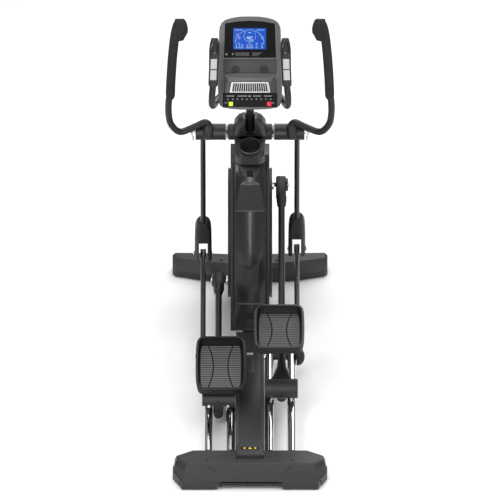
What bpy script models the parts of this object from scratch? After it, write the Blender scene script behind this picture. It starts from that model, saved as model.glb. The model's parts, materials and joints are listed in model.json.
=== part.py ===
"""Elliptical trainer: front crank, rear roller rails, swinging handlebars and a console on a central mast.

Metres, +Z up. The user stands facing +Y. HALF is taken from every forward distance, so that the object is centred on the origin.
"""

import math

import bmesh
import bpy
import numpy as np
from mathutils import Matrix, Vector

# ---------------------------------------------------------------- driving dimensions (forward distances from the rear edge)
HALF = 1.0  # half of the overall length
CRANK = (1.6635, 0.3744)  # crank axis, forward and up
CRANK_R = 0.2587
CRANK_DEG = 92.869  # right crank, measured up from straight ahead
ARM_L = 1.0989  # roller axle to crank pin
AXLE_Z = 0.1342  # roller axle height
PIVOT_U, PIVOT_W = 0.3074, 0.0516  # foot pivot on the pedal arm, along and above
LINK_L = 0.9380  # foot pivot to fork
SWING_L = 0.8819  # mast pivot to fork
PIVOT = (1.4998, 0.9943)  # mast pivot
PEDAL_A, PEDAL_B, PEDAL_T = 0.1765, 0.0566, 0.0969  # pedal centre behind and above the foot pivot, and its tilt on the link
ARM_X = 0.1428
LINK_X = 0.2126
PEDAL_X = 0.1318
RAIL_IN, RAIL_OUT, RAIL_R, RAIL_Z = 0.0878, 0.1880, 0.020, 0.0795
DISC_R = 0.295
HOUSING_X = 0.088
GAP = 0.0003

FINENESS = 0.75
TAU = 2 * math.pi

for obj in list(bpy.data.objects):
    bpy.data.objects.remove(obj, do_unlink=True)

scene = bpy.context.scene
parts = bpy.data.collections.new("elliptical_trainer")
scene.collection.children.link(parts)


# ---------------------------------------------------------------- helpers
def material(name, colour, rough=0.5, metal=0.0):
    found = bpy.data.materials.get(name)
    if found:
        return found
    made = bpy.data.materials.new(name)
    made.use_nodes = True
    shader = made.node_tree.nodes["Principled BSDF"]
    shader.inputs["Base Color"].default_value = (*colour, 1)
    shader.inputs["Roughness"].default_value = rough
    shader.inputs["Metallic"].default_value = metal
    return made


BLACK = ("plastic_black", (0.030, 0.030, 0.032), 0.55, 0)
CHAR = ("plastic_charcoal", (0.060, 0.060, 0.063), 0.5, 0)
GREY = ("plastic_grey", (0.14, 0.14, 0.145), 0.5, 0)
PAINT = ("paint_charcoal", (0.045, 0.045, 0.048), 0.35, 0.3)
STEEL = ("steel", (0.6, 0.6, 0.6), 0.3, 1)
CHROME = ("chrome", (0.8, 0.8, 0.8), 0.1, 1)
RUBBER = ("rubber", (0.02, 0.02, 0.02), 0.9, 0)
FOAM = ("foam", (0.025, 0.025, 0.025), 0.95, 0)
GLASS = ("display", (0.01, 0.01, 0.012), 0.08, 0)
SILVER = ("silver", (0.5, 0.5, 0.5), 0.35, 0.8)
GREEN = ("green", (0.4, 0.6, 0.06), 0.5, 0)
RED = ("red", (0.7, 0.02, 0.05), 0.5, 0)
IRON = ("iron", (0.2, 0.2, 0.2), 0.6, 1)


def made(name, bm, look, origin=None):
    """An object from a bmesh drawn with forward distances. Its origin goes to `origin`."""
    bmesh.ops.translate(bm, verts=bm.verts, vec=(0, -HALF, 0))
    bmesh.ops.recalc_face_normals(bm, faces=bm.faces)
    mesh = bpy.data.meshes.new(name)
    bm.to_mesh(mesh)
    bm.free()
    obj = bpy.data.objects.new(name, mesh)
    parts.objects.link(obj)
    if look:
        mesh.materials.append(material(look[0], look[1], look[2], look[3]))
    if origin is not None:
        set_origin(obj, origin)
    return obj


def set_origin(obj, origin):
    move = Vector((origin[0], origin[1] - HALF, origin[2]))
    obj.data.transform(Matrix.Translation(-move))
    obj.location = move
    return obj


def evaluated(obj):
    bpy.context.view_layer.update()
    graph = bpy.context.evaluated_depsgraph_get()
    mesh = bpy.data.meshes.new_from_object(obj.evaluated_get(graph))
    obj.modifiers.clear()
    old = obj.data
    obj.data = mesh
    mesh.name = obj.name
    bpy.data.meshes.remove(old)
    return obj


def tidy(obj):
    bm = bmesh.new()
    bm.from_mesh(obj.data)
    bmesh.ops.remove_doubles(bm, verts=bm.verts, dist=1e-5)
    bmesh.ops.dissolve_degenerate(bm, edges=bm.edges, dist=1e-5)
    bm.to_mesh(obj.data)
    bm.free()
    return obj


def boolean(obj, others, operation="DIFFERENCE"):
    for other in others if isinstance(others, (list, tuple)) else [others]:
        modifier = obj.modifiers.new(operation.lower(), "BOOLEAN")
        modifier.operation = operation
        modifier.solver = "EXACT"
        modifier.object = other
        evaluated(obj)
        bpy.data.objects.remove(other, do_unlink=True)
    return tidy(obj)


def cut(obj, others):
    return boolean(obj, others, "DIFFERENCE")


def weld(obj, others):
    return boolean(obj, others, "UNION")


def bevel(obj, width, segments=2, angle=35):
    modifier = obj.modifiers.new("bevel", "BEVEL")
    modifier.width = width
    modifier.segments = segments
    modifier.limit_method = "ANGLE"
    modifier.angle_limit = math.radians(angle)
    modifier.harden_normals = False
    return tidy(evaluated(obj))


def join(obj, others):
    """Several closed bodies in one object."""
    bm = bmesh.new()
    bm.from_mesh(obj.data)
    for other in others:
        copy = other.data.copy()
        copy.transform(obj.matrix_world.inverted() @ other.matrix_world)
        bm.from_mesh(copy)
        bpy.data.objects.remove(other, do_unlink=True)
    bm.to_mesh(obj.data)
    bm.free()
    return obj


def box(name, x0, x1, y0, y1, z0, z1, look=None, round_by=0, segments=2):
    bm = bmesh.new()
    bmesh.ops.create_cube(bm, size=1)
    bmesh.ops.scale(bm, verts=bm.verts, vec=(x1 - x0, y1 - y0, z1 - z0))
    bmesh.ops.translate(bm, verts=bm.verts, vec=((x0 + x1) / 2, (y0 + y1) / 2, (z0 + z1) / 2))
    obj = made(name, bm, look)
    return bevel(obj, round_by, segments) if round_by else obj


def ring_loft(name, rings, look=None, closed=False):
    """A closed body through rings of equal length."""
    bm = bmesh.new()
    rows = [[bm.verts.new(Vector(p)) for p in ring] for ring in rings]
    count = len(rows[0])
    pairs = list(zip(rows, rows[1:])) + ([(rows[-1], rows[0])] if closed else [])
    for a, b in pairs:
        for i in range(count):
            j = (i + 1) % count
            bm.faces.new((a[i], a[j], b[j], b[i]))
    if not closed:
        bm.faces.new(rows[0][::-1])
        bm.faces.new(rows[-1])
    return made(name, bm, look)


def sides(count):
    """How many sides a round shape gets."""
    return max(10, 2 * round(count * FINENESS / 2))


def circle(count, radius, radius2=None):
    count = sides(count)
    return [(radius * math.cos(TAU * i / count), (radius2 or radius) * math.sin(TAU * i / count)) for i in range(count)]


def rounded(width, height, radius, steps=2):
    """A rounded rectangle centred on the origin."""
    points = []
    for cx, cy, start in ((1, 1, 0), (-1, 1, 90), (-1, -1, 180), (1, -1, 270)):
        for k in range(steps + 1):
            a = math.radians(start + 90 * k / steps)
            points.append((cx * (width / 2 - radius) + radius * math.cos(a), cy * (height / 2 - radius) + radius * math.sin(a)))
    return points


def superellipse(width, height, power=4, count=28):
    out = []
    for i in range(count):
        a = TAU * i / count
        c, s = math.cos(a), math.sin(a)
        out.append((width / 2 * math.copysign(abs(c) ** (2 / power), c), height / 2 * math.copysign(abs(s) ** (2 / power), s)))
    return out


def rod_x(name, x0, x1, y, z, radius, look=None, count=16, radius2=None):
    """A cylinder or cone along X."""
    bm = bmesh.new()
    turn = Matrix.Rotation(math.radians(90 if x1 > x0 else -90), 4, "Y")
    bmesh.ops.create_cone(bm, cap_ends=True, segments=sides(count), radius1=radius, radius2=radius if radius2 is None else radius2, depth=abs(x1 - x0), matrix=Matrix.Translation(((x0 + x1) / 2, y, z)) @ turn)
    return made(name, bm, look)


def lathe_x(name, profile, y, z, look=None, count=20):
    """A profile of (x, radius) turned once round an X axis."""
    bm = bmesh.new()
    ring = [bm.verts.new((x, r + HALF, 0)) for x, r in profile]
    for i, v in enumerate(ring):
        bm.edges.new((ring[i - 1], v))
    obj = made(name, bm, look)
    screw = obj.modifiers.new("turn", "SCREW")
    screw.axis = "X"
    screw.steps = screw.render_steps = sides(count)
    screw.use_merge_vertices = True
    screw.merge_threshold = 1e-5
    evaluated(obj)
    obj.data.transform(Matrix.Translation((0, y - HALF, z)))
    return outward(obj)


def outward(obj):
    bm = bmesh.new()
    bm.from_mesh(obj.data)
    bmesh.ops.remove_doubles(bm, verts=bm.verts, dist=1e-5)
    bmesh.ops.recalc_face_normals(bm, faces=bm.faces)
    bm.to_mesh(obj.data)
    bm.free()
    return obj


def from_curve(name, curve, look, matrix):
    """The mesh of a curve, moved by `matrix`."""
    drawn = bpy.data.objects.new("drawn", curve)
    parts.objects.link(drawn)
    bpy.context.view_layer.update()
    mesh = bpy.data.meshes.new_from_object(drawn.evaluated_get(bpy.context.evaluated_depsgraph_get()))
    bpy.data.objects.remove(drawn, do_unlink=True)
    bm = bmesh.new()
    bm.from_mesh(mesh)
    bpy.data.meshes.remove(mesh)
    bmesh.ops.transform(bm, matrix=matrix, verts=bm.verts)
    bmesh.ops.remove_doubles(bm, verts=bm.verts, dist=1e-6)
    bmesh.ops.dissolve_limit(bm, angle_limit=1e-4, verts=bm.verts, edges=bm.edges)
    return made(name, bm, look)


def bar_along(name, path, radius, look=None, count=12, scales=None):
    """A round bar along a path, with flat ends."""
    curve = bpy.data.curves.new(name, "CURVE")
    curve.dimensions = "3D"
    curve.bevel_depth = radius
    curve.bevel_resolution = max(0, (count - 4) // 2)
    curve.use_fill_caps = True
    line = curve.splines.new("POLY")
    line.points.add(len(path) - 1)
    for i, p in enumerate(path):
        line.points[i].co = (*p, 1)
        line.points[i].radius = scales[i] if scales else 1
    return from_curve(name, curve, look, Matrix.Identity(4))


def smooth_path(points, steps=6):
    """A path through the points, rounded between them."""
    pts = [Vector(p) for p in points]
    out = []
    for i in range(len(pts) - 1):
        p0 = pts[max(i - 1, 0)]
        p1, p2 = pts[i], pts[i + 1]
        p3 = pts[min(i + 2, len(pts) - 1)]
        for k in range(steps):
            t = k / steps
            out.append(0.5 * ((2 * p1) + (p2 - p0) * t + (2 * p0 - 5 * p1 + 4 * p2 - p3) * t * t + (3 * p1 - p0 - 3 * p2 + p3) * t**3))
    return out + [pts[-1]]


def sweep(name, path, profile, look=None, side=(1, 0, 0), scales=None):
    """A profile carried along a path, with flat ends. `side` starts the profile's first axis."""
    reach = [math.hypot(*p) for p in profile]
    if max(reach) - min(reach) < 1e-9:
        return bar_along(name, path, reach[0], look, len(profile), scales)
    pts = [Vector(p) for p in path]
    axis = Vector(side)
    rings = []
    for i, p in enumerate(pts):
        a = pts[max(i - 1, 0)]
        b = pts[min(i + 1, len(pts) - 1)]
        along = (b - a).normalized()
        axis = (axis - along * axis.dot(along)).normalized()
        other = along.cross(axis)
        s = scales[i] if scales else 1
        rings.append([p + axis * u * s + other * w * s for u, w in profile])
    return ring_loft(name, rings, look)


def plate_x(name, outline, x0, x1, look=None):
    """A flat outline of (forward, up) carried along X."""
    curve = bpy.data.curves.new(name, "CURVE")
    curve.dimensions = "2D"
    curve.fill_mode = "BOTH"
    curve.extrude = abs(x1 - x0) / 2
    line = curve.splines.new("POLY")
    line.points.add(len(outline) - 1)
    for point, (y, z) in zip(line.points, outline):
        point.co = (y, z, 0, 1)
    line.use_cyclic_u = True
    return from_curve(name, curve, look, Matrix(((0, 0, 1, (x0 + x1) / 2), (1, 0, 0, 0), (0, 1, 0, 0), (0, 0, 0, 1))))


def mirrored(obj, name, look=None):
    """A left copy of a right piece."""
    mesh = obj.data.copy()
    copy = bpy.data.objects.new(name, mesh)
    mesh.name = name
    parts.objects.link(copy)
    mesh.transform(Matrix.Scale(-1, 4, (1, 0, 0)))
    mesh.flip_normals()
    copy.location = (-obj.location.x, obj.location.y, obj.location.z)
    return copy


def block(name, matrix, x, u, w, look=None, round_by=0, segments=2):
    """A box between limits along the three axes of `matrix`."""
    bm = bmesh.new()
    size = Matrix.Diagonal((x[1] - x[0], u[1] - u[0], w[1] - w[0], 1))
    bmesh.ops.create_cube(bm, size=1, matrix=matrix @ Matrix.Translation(((x[0] + x[1]) / 2, (u[0] + u[1]) / 2, (w[0] + w[1]) / 2)) @ size)
    obj = made(name, bm, look)
    return bevel(obj, round_by, segments) if round_by else obj


class Frame:
    """A side-view frame: `along` and `up` from an origin, at an angle."""

    def __init__(self, origin, angle):
        self.o = origin
        self.c, self.s = math.cos(angle), math.sin(angle)
        self.matrix = Matrix.Translation((0, origin[0], origin[1])) @ Matrix.Rotation(angle, 4, "X")

    def at(self, x, u, w):
        return (x, self.o[0] + u * self.c - w * self.s, self.o[1] + u * self.s + w * self.c)

    def box(self, name, x0, x1, u0, u1, w0, w1, look=None, round_by=0, segments=2):
        return block(name, self.matrix, (x0, x1), (u0, u1), (w0, w1), look, round_by, segments)


# ---------------------------------------------------------------- linkage, solved for the rest pose
def solve(degrees):
    a = math.radians(degrees)
    pin = (CRANK[0] + CRANK_R * math.cos(a), CRANK[1] + CRANK_R * math.sin(a))
    dz = pin[1] - AXLE_Z
    axle = (pin[0] - math.sqrt(ARM_L**2 - dz**2), AXLE_Z)
    beta = math.atan2(dz, pin[0] - axle[0])
    c, s = math.cos(beta), math.sin(beta)
    foot = (axle[0] + PIVOT_U * c - PIVOT_W * s, axle[1] + PIVOT_U * s + PIVOT_W * c)
    dy, dz = PIVOT[0] - foot[0], PIVOT[1] - foot[1]
    d = math.hypot(dy, dz)
    x = (LINK_L**2 - SWING_L**2 + d * d) / (2 * d)
    h = math.sqrt(LINK_L**2 - x * x)
    fork = (foot[0] + x * dy / d + h * dz / d, foot[1] + x * dz / d - h * dy / d)
    theta = math.atan2(fork[1] - foot[1], fork[0] - foot[0])
    phi = math.atan2(fork[0] - PIVOT[0], PIVOT[1] - fork[1])
    return {"pin": pin, "axle": axle, "beta": beta, "foot": foot, "fork": fork, "theta": theta, "phi": phi}


POSE = {"right": solve(CRANK_DEG), "left": solve(CRANK_DEG + 180)}

# ---------------------------------------------------------------- fixed frame
def front_pad(x):
    """A levelling pad under the front cross tube."""
    return ring_loft("t", [[(x + p, 1.910 + q, h) for p, q in circle(14, r)] for h, r in ((0, 0.020), (0.012, 0.021), (0.0135, 0.008), (0.040, 0.008))])


frame = box("main_frame", -0.035, 0.035, 0.165, 1.925, 0.050, 0.110, PAINT, 0.004, 1)
weld(
    frame,
    [
        box("t", -0.034, 0.034, 0.080, 0.250, 0.034, 0.0770),
        box("t", -0.2960, 0.2960, 0.055, 0.115, 0.030, 0.070),
        box("t", -0.20, 0.20, 1.886, 1.926, 0.030, 0.062),
        box("t", 0.18, 0.302, 1.913, 1.929, 0.032, 0.046),
        box("t", -0.302, -0.18, 1.913, 1.929, 0.032, 0.046),
        front_pad(0.205),
        front_pad(-0.205),
        box("t", -0.024, 0.024, 1.642, 1.690, 0.100, 0.365),
        rod_x("t", -0.040, 0.040, CRANK[0], CRANK[1], 0.028),
        box("t", 0.0215, 0.040, 1.518, 1.680, 0.226, 0.246),
        rod_x("t", 0.038, 0.062, 1.530, 0.2355, 0.004, count=12),
        box("t", -0.034, -0.026, 1.395, 1.445, 0.100, 0.325),
        rod_x("t", -0.030, 0.064, 1.420, 0.300, 0.0075, count=16),
        box("t", 0.238, 0.244, 1.922, 1.972, 0.034, 0.058),
        box("t", 0.296, 0.302, 1.922, 1.972, 0.034, 0.058),
        rod_x("t", 0.241, 0.299, 1.962, 0.046, 0.004, count=12),
        box("t", -0.244, -0.238, 1.922, 1.972, 0.034, 0.058),
        box("t", -0.302, -0.296, 1.922, 1.972, 0.034, 0.058),
        rod_x("t", -0.299, -0.241, 1.962, 0.046, 0.004, count=12),
    ],
)
cut(frame, rod_x("t", -0.05, 0.05, CRANK[0], CRANK[1], 0.0176))

# spine cover: an upturned trough over the beam
cover = box("spine_cover", -0.0635, 0.0635, 0.1203, 1.2150, 0.020, 0.118, CHAR, 0.010, 2)
cut(
    cover,
    [
        box("t", -0.0600, 0.0600, 0.1240, 1.230, 0.010, 0.1145),
        box("t", -0.0400, 0.0400, 0.1000, 0.130, 0.010, 0.0790),
        rod_x("t", -0.08, 0.08, 1.052, RAIL_Z, 0.0146, count=20),
    ],
)


# stabiliser covers
def wing(x, y0, y1, z0, z1, r):
    cy, cz = (y0 + y1) / 2, (z0 + z1) / 2
    return [(x, cy + p, cz + q) for p, q in rounded(y1 - y0, z1 - z0, r)]


def tier(z, half, y0, y1, rear, front):
    """A level outline with its corners cut off: `rear` and `front` are how far each cut goes across and along."""
    rx, ry = rear
    fx, fy = front
    return [(-half + rx, y0, z), (half - rx, y0, z), (half, y0 + ry, z), (half, y1 - fy, z), (half - fx, y1, z), (-half + fx, y1, z), (-half, y1 - fy, z), (-half, y0 + ry, z)]


rear = ring_loft(
    "rear_stabilizer_cover",
    [
        tier(0.006, 0.346, 0.000, 0.190, (0.040, 0.090), (0.080, 0.050)),
        tier(0.044, 0.346, 0.000, 0.190, (0.040, 0.090), (0.080, 0.050)),
        tier(0.047, 0.341, 0.004, 0.190, (0.040, 0.085), (0.076, 0.048)),
        tier(0.080, 0.337, 0.035, 0.190, (0.042, 0.062), (0.076, 0.048)),
        tier(0.097, 0.328, 0.064, 0.188, (0.042, 0.046), (0.072, 0.046)),
        tier(0.100, 0.318, 0.074, 0.182, (0.040, 0.040), (0.068, 0.042)),
    ],
    CHAR,
)
cut(
    rear,
    [
        box("t", -0.318, 0.318, 0.014, 0.150, -0.01, 0.040),
        box("t", -0.300, 0.300, 0.050, 0.180, -0.01, 0.078),
        box("t", -0.0638, 0.0638, 0.1200, 0.210, -0.01, 0.2000),
        box("t", -0.146, 0.146, -0.01, 0.030, -0.01, 0.0440),
    ],
)
bar = rod_x("rear_lift_bar", -0.1315, 0.1315, 0.0125, 0.028, 0.0085, BLACK, 16)
weld(bar, [box("t", -0.140, -0.128, 0.004, 0.0547, 0.018, 0.040), box("t", 0.128, 0.140, 0.004, 0.0547, 0.018, 0.040)])

def shin(x, y0, y1, top=0.084):
    """A section of the front cover: upright foot, sloping face, level top."""
    return [(x, y0, 0.006), (x, y0, top - 0.046), (x, y0 + 0.018, top - 0.016), (x, y0 + 0.040, top), (x, y1 - 0.012, top), (x, y1, top - 0.014), (x, y1, 0.006)]


def shin_hollow(x, y0, y1, top=0.084):
    return [(x, y0 + 0.012, -0.02), (x, y0 + 0.012, top - 0.036), (x, y0 + 0.021, top - 0.0200), (x, y0 + 0.032, top - 0.010), (x, y1 - 0.010, top - 0.010), (x, y1 - 0.010, -0.02)]


FRONT_RUN = [(0.353, 1.922, 1.990, 0.074), (0.340, 1.903, 2.000, 0.081), (0.220, 1.866, 1.992, 0.084), (0.110, 1.850, 1.984, 0.084), (0.000, 1.844, 1.980, 0.084)]
FRONT_RUN += [(-x, a, b, c) for x, a, b, c in FRONT_RUN[-2::-1]]
front = ring_loft("front_stabilizer_cover", [shin(*p) for p in FRONT_RUN[::-1]], CHAR)
hollow = ring_loft("t", [shin_hollow(x * 0.94, a, b, c) for x, a, b, c in FRONT_RUN[-2:0:-1]])
cut(
    front,
    [
        hollow,
        box("t", -0.0356, 0.0356, 1.840, 1.9256, -0.01, 0.1110),
        box("t", 0.2500, 0.2900, 1.924, 2.02, -0.01, 0.0800),
        box("t", -0.2900, -0.2500, 1.924, 2.02, -0.01, 0.0800),
    ],
)

for side, sign in (("right", 1), ("left", -1)):
    wheel = lathe_x(
        "transport_wheel_" + side,
        [(-0.017, 0.0044), (-0.017, 0.025), (-0.013, 0.029), (0.013, 0.029), (0.017, 0.025), (0.017, 0.0044)],
        1.962,
        0.046,
        RUBBER,
        28,
    )
    wheel.data.transform(Matrix.Translation((0.270 * sign, 0, 0)))
    set_origin(wheel, (0.270 * sign, 1.962, 0.046))

for side, sign in (("right", 1), ("left", -1)):
    ring_loft("rear_foot_" + side, [[(sign * 0.285 + p, 0.085 + q, h) for p, q in circle(14, r)] for h, r in ((0, 0.020), (0.012, 0.021), (0.0135, 0.008), (0.0297, 0.008))], RUBBER)

# rails: two tubes a side, tied by a cross tube with a domed end
for side, sign in (("right", 1), ("left", -1)):
    rails = bar_along("rails_" + side, [(sign * RAIL_IN, 0.1905, RAIL_Z), (sign * RAIL_IN, 1.0450, RAIL_Z)], RAIL_R, CHROME, sides(20))
    tubes = [bar_along("t", [(sign * RAIL_OUT, 0.1905, RAIL_Z), (sign * RAIL_OUT, 1.0450, RAIL_Z)], RAIL_R, None, sides(20))]
    tubes.append(rod_x("t", sign * 0.0355, sign * 0.2130, 1.0520, RAIL_Z, 0.0140, count=16))
    dome = [(0.2110, 0.0385), (0.2125, 0.0400), (0.2200, 0.0395), (0.2300, 0.0360), (0.2390, 0.0280), (0.2450, 0.0150), (0.2465, 0.0040)]
    tubes.append(ring_loft("t", [[(sign * x, 1.052 + p, RAIL_Z + q) for p, q in circle(20, r)] for x, r in dome]))
    weld(rails, tubes)

# ---------------------------------------------------------------- drive housing
OUTER = [(1.222, 0.1155), (1.243, 0.220), (1.262, 0.330), (1.292, 0.480), (1.345, 0.670), (1.395, 0.820), (1.425, 0.870), (1.460, 0.8975), (1.560, 0.8975), (1.610, 0.870), (1.680, 0.790), (1.790, 0.690), (1.890, 0.560), (1.945, 0.420), (1.950, 0.300), (1.925, 0.180), (1.905, 0.1155)]


def inset(outline, by):
    """The outline moved inwards (it runs clockwise seen from +X with Y to the right)."""
    pts = [Vector(p) for p in outline]
    out = []
    for i, p in enumerate(pts):
        a = (p - pts[i - 1]).normalized()
        b = (pts[(i + 1) % len(pts)] - p).normalized()
        n1, n2 = Vector((a.y, -a.x)), Vector((b.y, -b.x))
        n = (n1 + n2).normalized()
        out.append(tuple(p + n * (by / max(0.4, n.dot(n1)))))
    return out


INNER = inset(OUTER, 0.004)
INNER = [(INNER[0][0], 0.08)] + INNER[1:-1] + [(INNER[-1][0], 0.08)]
shell = ring_loft("housing_right", [[(x, y, z) for y, z in OUTER] for x in (0.0002, HOUSING_X)], CHAR)
# round only the outer edge
modifier = shell.modifiers.new("edge", "BEVEL")
modifier.width = 0.007
modifier.segments = 3
modifier.limit_method = "WEIGHT"
weights = shell.data.attributes.new("bevel_weight_edge", "FLOAT", "EDGE")
for edge in shell.data.edges:
    xs = [shell.data.vertices[v].co.x for v in edge.vertices]
    zs = [shell.data.vertices[v].co.z for v in edge.vertices]
    weights.data[edge.index].value = 1.0 if min(xs) > 0.05 and max(zs) > 0.12 else 0.0
evaluated(shell)
tidy(shell)
cut(
    shell,
    [
        plate_x("t", INNER, -0.01, HOUSING_X - 0.004),
        rod_x("t", 0.06, 0.12, CRANK[0], CRANK[1], 0.0180),
        sweep("t", [(0, 1.560, 0.55), (0, 1.4750, 1.18)], circle(24, 0.0215)),
    ],
)
mirrored(shell, "housing_left")

panel_in = inset(OUTER, -0.0006)[1:6]


def crowned(x):
    """How far the rear panel stands out from the housing, at a place across it."""
    return -0.0045 - 0.0075 * (1 - (x / 0.062) ** 2)


panel = ring_loft("housing_rear_panel", [[(x, y, z) for y, z in inset(OUTER, crowned(x))[1:6] + panel_in[::-1]] for x in (-0.062, -0.052, -0.034, 0.0, 0.034, 0.052, 0.062)], BLACK)

# ---------------------------------------------------------------- mast
MAST_LOW = (1.6205, 0.1105)
MAST_TOP = (1.2595, 1.4180)
MAST_R = 0.0187


def mast_path(extra=0.0):
    low, mid, top = Vector((0, *MAST_LOW)), Vector((0, *PIVOT)), Vector((0, *MAST_TOP))
    a = (mid - low).normalized()
    b = (top - mid).normalized()
    return [low - a * extra, mid - a * 0.09, mid - a * 0.045 + b * 0.002, mid + b * 0.0 - (a - b) * 0.008, mid + b * 0.045 - a * 0.002, mid + b * 0.09, top + b * extra]


mast = sweep("mast_tube", mast_path(), circle(20, MAST_R), PAINT)
cut(mast, box("t", -0.05, 0.05, 1.5, 1.75, 0.05, MAST_LOW[1] + 0.003))
weld(mast, rod_x("t", -0.1010, 0.1010, PIVOT[0], PIVOT[1], 0.0240, count=20))
weld(mast, box("t", -0.030, 0.030, 1.590, 1.638, 0.1105, 0.118))
cut(mast, rod_x("t", -0.12, 0.12, PIVOT[0], PIVOT[1], 0.0106, count=16))


def plan(half, y0, y1, z, r):
    return [(p, (y0 + y1) / 2 + q, z) for p, q in rounded(2 * half, y1 - y0, r, 2)]


def tilted(half, y, z, deep, r, lean=0.0):
    """A ring round the upper mast, level across and leaning with it."""
    return [(p, y + q * math.cos(lean), z - q * math.sin(lean)) for p, q in rounded(2 * half, deep, r, 4)]


boot = ring_loft(
    "mast_cover",
    [
        plan(0.0665, 1.372, 1.590, 0.8985, 0.035),
        plan(0.0655, 1.332, 1.585, 0.9190, 0.035),
        plan(0.0650, 1.318, 1.565, 0.9600, 0.035),
        plan(0.0660, 1.345, 1.550, 0.9780, 0.035),
        plan(0.0743, 1.440, 1.545, 0.9950, 0.030),
        plan(0.0743, 1.425, 1.535, 1.0250, 0.030),
        plan(0.0700, 1.400, 1.510, 1.0700, 0.030),
        plan(0.0560, 1.385, 1.480, 1.1050, 0.030),
        plan(0.0340, 1.380, 1.460, 1.1250, 0.026),
    ],
    CHAR,
)
cut(
    boot,
    [
        ring_loft("t", [plan(0.0600, 1.388, 1.582, 0.88, 0.03), plan(0.0600, 1.350, 1.575, 0.921, 0.03), plan(0.0600, 1.340, 1.556, 0.955, 0.03), plan(0.0600, 1.440, 1.540, 0.965, 0.03), plan(0.0640, 1.434, 1.536, 0.995, 0.026), plan(0.0640, 1.430, 1.528, 1.025, 0.026), plan(0.0600, 1.406, 1.504, 1.066, 0.026)]),
        sweep("t", mast_path(), circle(20, MAST_R + 0.0014)),
        rod_x("t", -0.12, 0.12, PIVOT[0], PIVOT[1], 0.0253, count=20),
        box("t", -0.0212, 0.0212, 1.330, 1.4810, 1.0139, 1.16),
    ],
)
CUP = Frame((1.3745, 0.9870), math.radians(14))  # rim centre; up is the cup's axis


def cup_ring(radius, up, count=24):
    return [CUP.at(p, q, up) for p, q in circle(count, radius)]


cut(boot, ring_loft("t", [cup_ring(0.0488, -0.060), cup_ring(0.0488, 0.05)]))
cup = ring_loft("bottle_holder", [cup_ring(0.0440, -0.0560), cup_ring(0.0480, -0.046), cup_ring(0.0480, -0.006), cup_ring(0.0525, 0.000), cup_ring(0.0525, 0.006), cup_ring(0.0500, 0.008)], CHAR)
cut(cup, ring_loft("t", [cup_ring(0.0405, -0.0510), cup_ring(0.0445, -0.044), cup_ring(0.0460, 0.02)]))
cut(boot, ring_loft("t", [cup_ring(0.0528, -0.0060), cup_ring(0.0528, 0.06)]))

# bosses beside the mast cover, over the pivot tube
for sign in (1, -1):
    weld(boot, lathe_x("t", [(sign * 0.0640, 0.0253), (sign * 0.0640, 0.0370), (sign * 0.0950, 0.0370), (sign * 0.1000, 0.0330), (sign * 0.1000, 0.0253)], PIVOT[0], PIVOT[1], count=20))

# ---------------------------------------------------------------- crank, belt and flywheel
axis = (0.0, CRANK[0], CRANK[1])
crank = rod_x("crank_set", -0.0960, 0.0960, CRANK[0], CRANK[1], 0.0160, STEEL)
for side, sign in (("right", 1), ("left", -1)):
    pin = POSE[side]["pin"]
    lever = Frame(CRANK, math.atan2(pin[1] - CRANK[1], pin[0] - CRANK[0]))
    x0, x1 = sorted((sign * 0.0905, sign * 0.0982))
    flat = lever.box("t", x0, x1, -0.034, CRANK_R + 0.024, -0.024, 0.024)
    weld(crank, [bevel(flat, 0.004, 1), rod_x("t", sign * 0.0940, sign * 0.1080, pin[0], pin[1], 0.0230, count=20)])
set_origin(crank, axis)

for side, sign in (("right", 1), ("left", -1)):
    pin = POSE[side]["pin"]
    disc = ring_loft("crank_disc_" + side, [[(sign * x, CRANK[0] + p, CRANK[1] + q) for p, q in circle(40, r)] for x, r in ((0.0900, 0.2945), (0.0985, DISC_R), (0.1006, 0.2915))], CHAR)
    cut(disc, [rod_x("t", sign * 0.080, sign * 0.0985, CRANK[0], CRANK[1], 0.2890, count=40), rod_x("t", sign * 0.09, sign * 0.12, pin[0], pin[1], 0.0234, count=20)])
    set_origin(disc, axis)

pulley = lathe_x(
    "crank_pulley",
    [(0.0440, 0.0163), (0.0440, 0.028), (0.0500, 0.030), (0.0500, 0.110), (0.0450, 0.114), (0.0450, 0.1300), (0.0600, 0.1300), (0.0600, 0.114), (0.0550, 0.110), (0.0550, 0.030), (0.0610, 0.028), (0.0610, 0.0163)],
    *CRANK,
    BLACK,
    24,
)
set_origin(pulley, axis)

FLY = (1.420, 0.300)
flywheel = lathe_x(
    "flywheel",
    [(-0.0180, 0.0080), (-0.0180, 0.020), (-0.004, 0.022), (-0.004, 0.072), (-0.014, 0.074), (-0.014, 0.1050), (0.024, 0.1050), (0.024, 0.074), (0.014, 0.072), (0.014, 0.022), (0.0440, 0.020), (0.0465, 0.0280), (0.0600, 0.0280), (0.0620, 0.0080)],
    *FLY,
    IRON,
    24,
)
set_origin(flywheel, (0, *FLY))
idler = lathe_x("tension_idler", [(0.0450, 0.0043), (0.0450, 0.0180), (0.0600, 0.0180), (0.0600, 0.0043)], 1.530, 0.2355, BLACK, 24)
set_origin(idler, (0, 1.530, 0.2355))


def belt_loop(extra):
    """Round the two pulleys, with `extra` added to each radius."""
    a, b = Vector(CRANK), Vector(FLY)
    ra, rb = 0.1300 + extra, 0.0280 + extra
    d = b - a
    base = math.atan2(d.y, d.x)
    open_by = math.acos((ra - rb) / d.length)
    pts = []
    for k in range(19):
        t = base + open_by + (TAU - 2 * open_by) * k / 18
        pts.append((a.x + ra * math.cos(t), a.y + ra * math.sin(t)))
    for k in range(9):
        t = base - open_by + 2 * open_by * k / 8
        pts.append((b.x + rb * math.cos(t), b.y + rb * math.sin(t)))
    return pts


outer, inner = belt_loop(0.0032), belt_loop(0.0014)
ring_loft(
    "drive_belt",
    [[(0.0470, y, z) for y, z in inner], [(0.0470, y, z) for y, z in outer], [(0.0580, y, z) for y, z in outer], [(0.0580, y, z) for y, z in inner]],
    RUBBER,
    closed=True,
)

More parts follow.
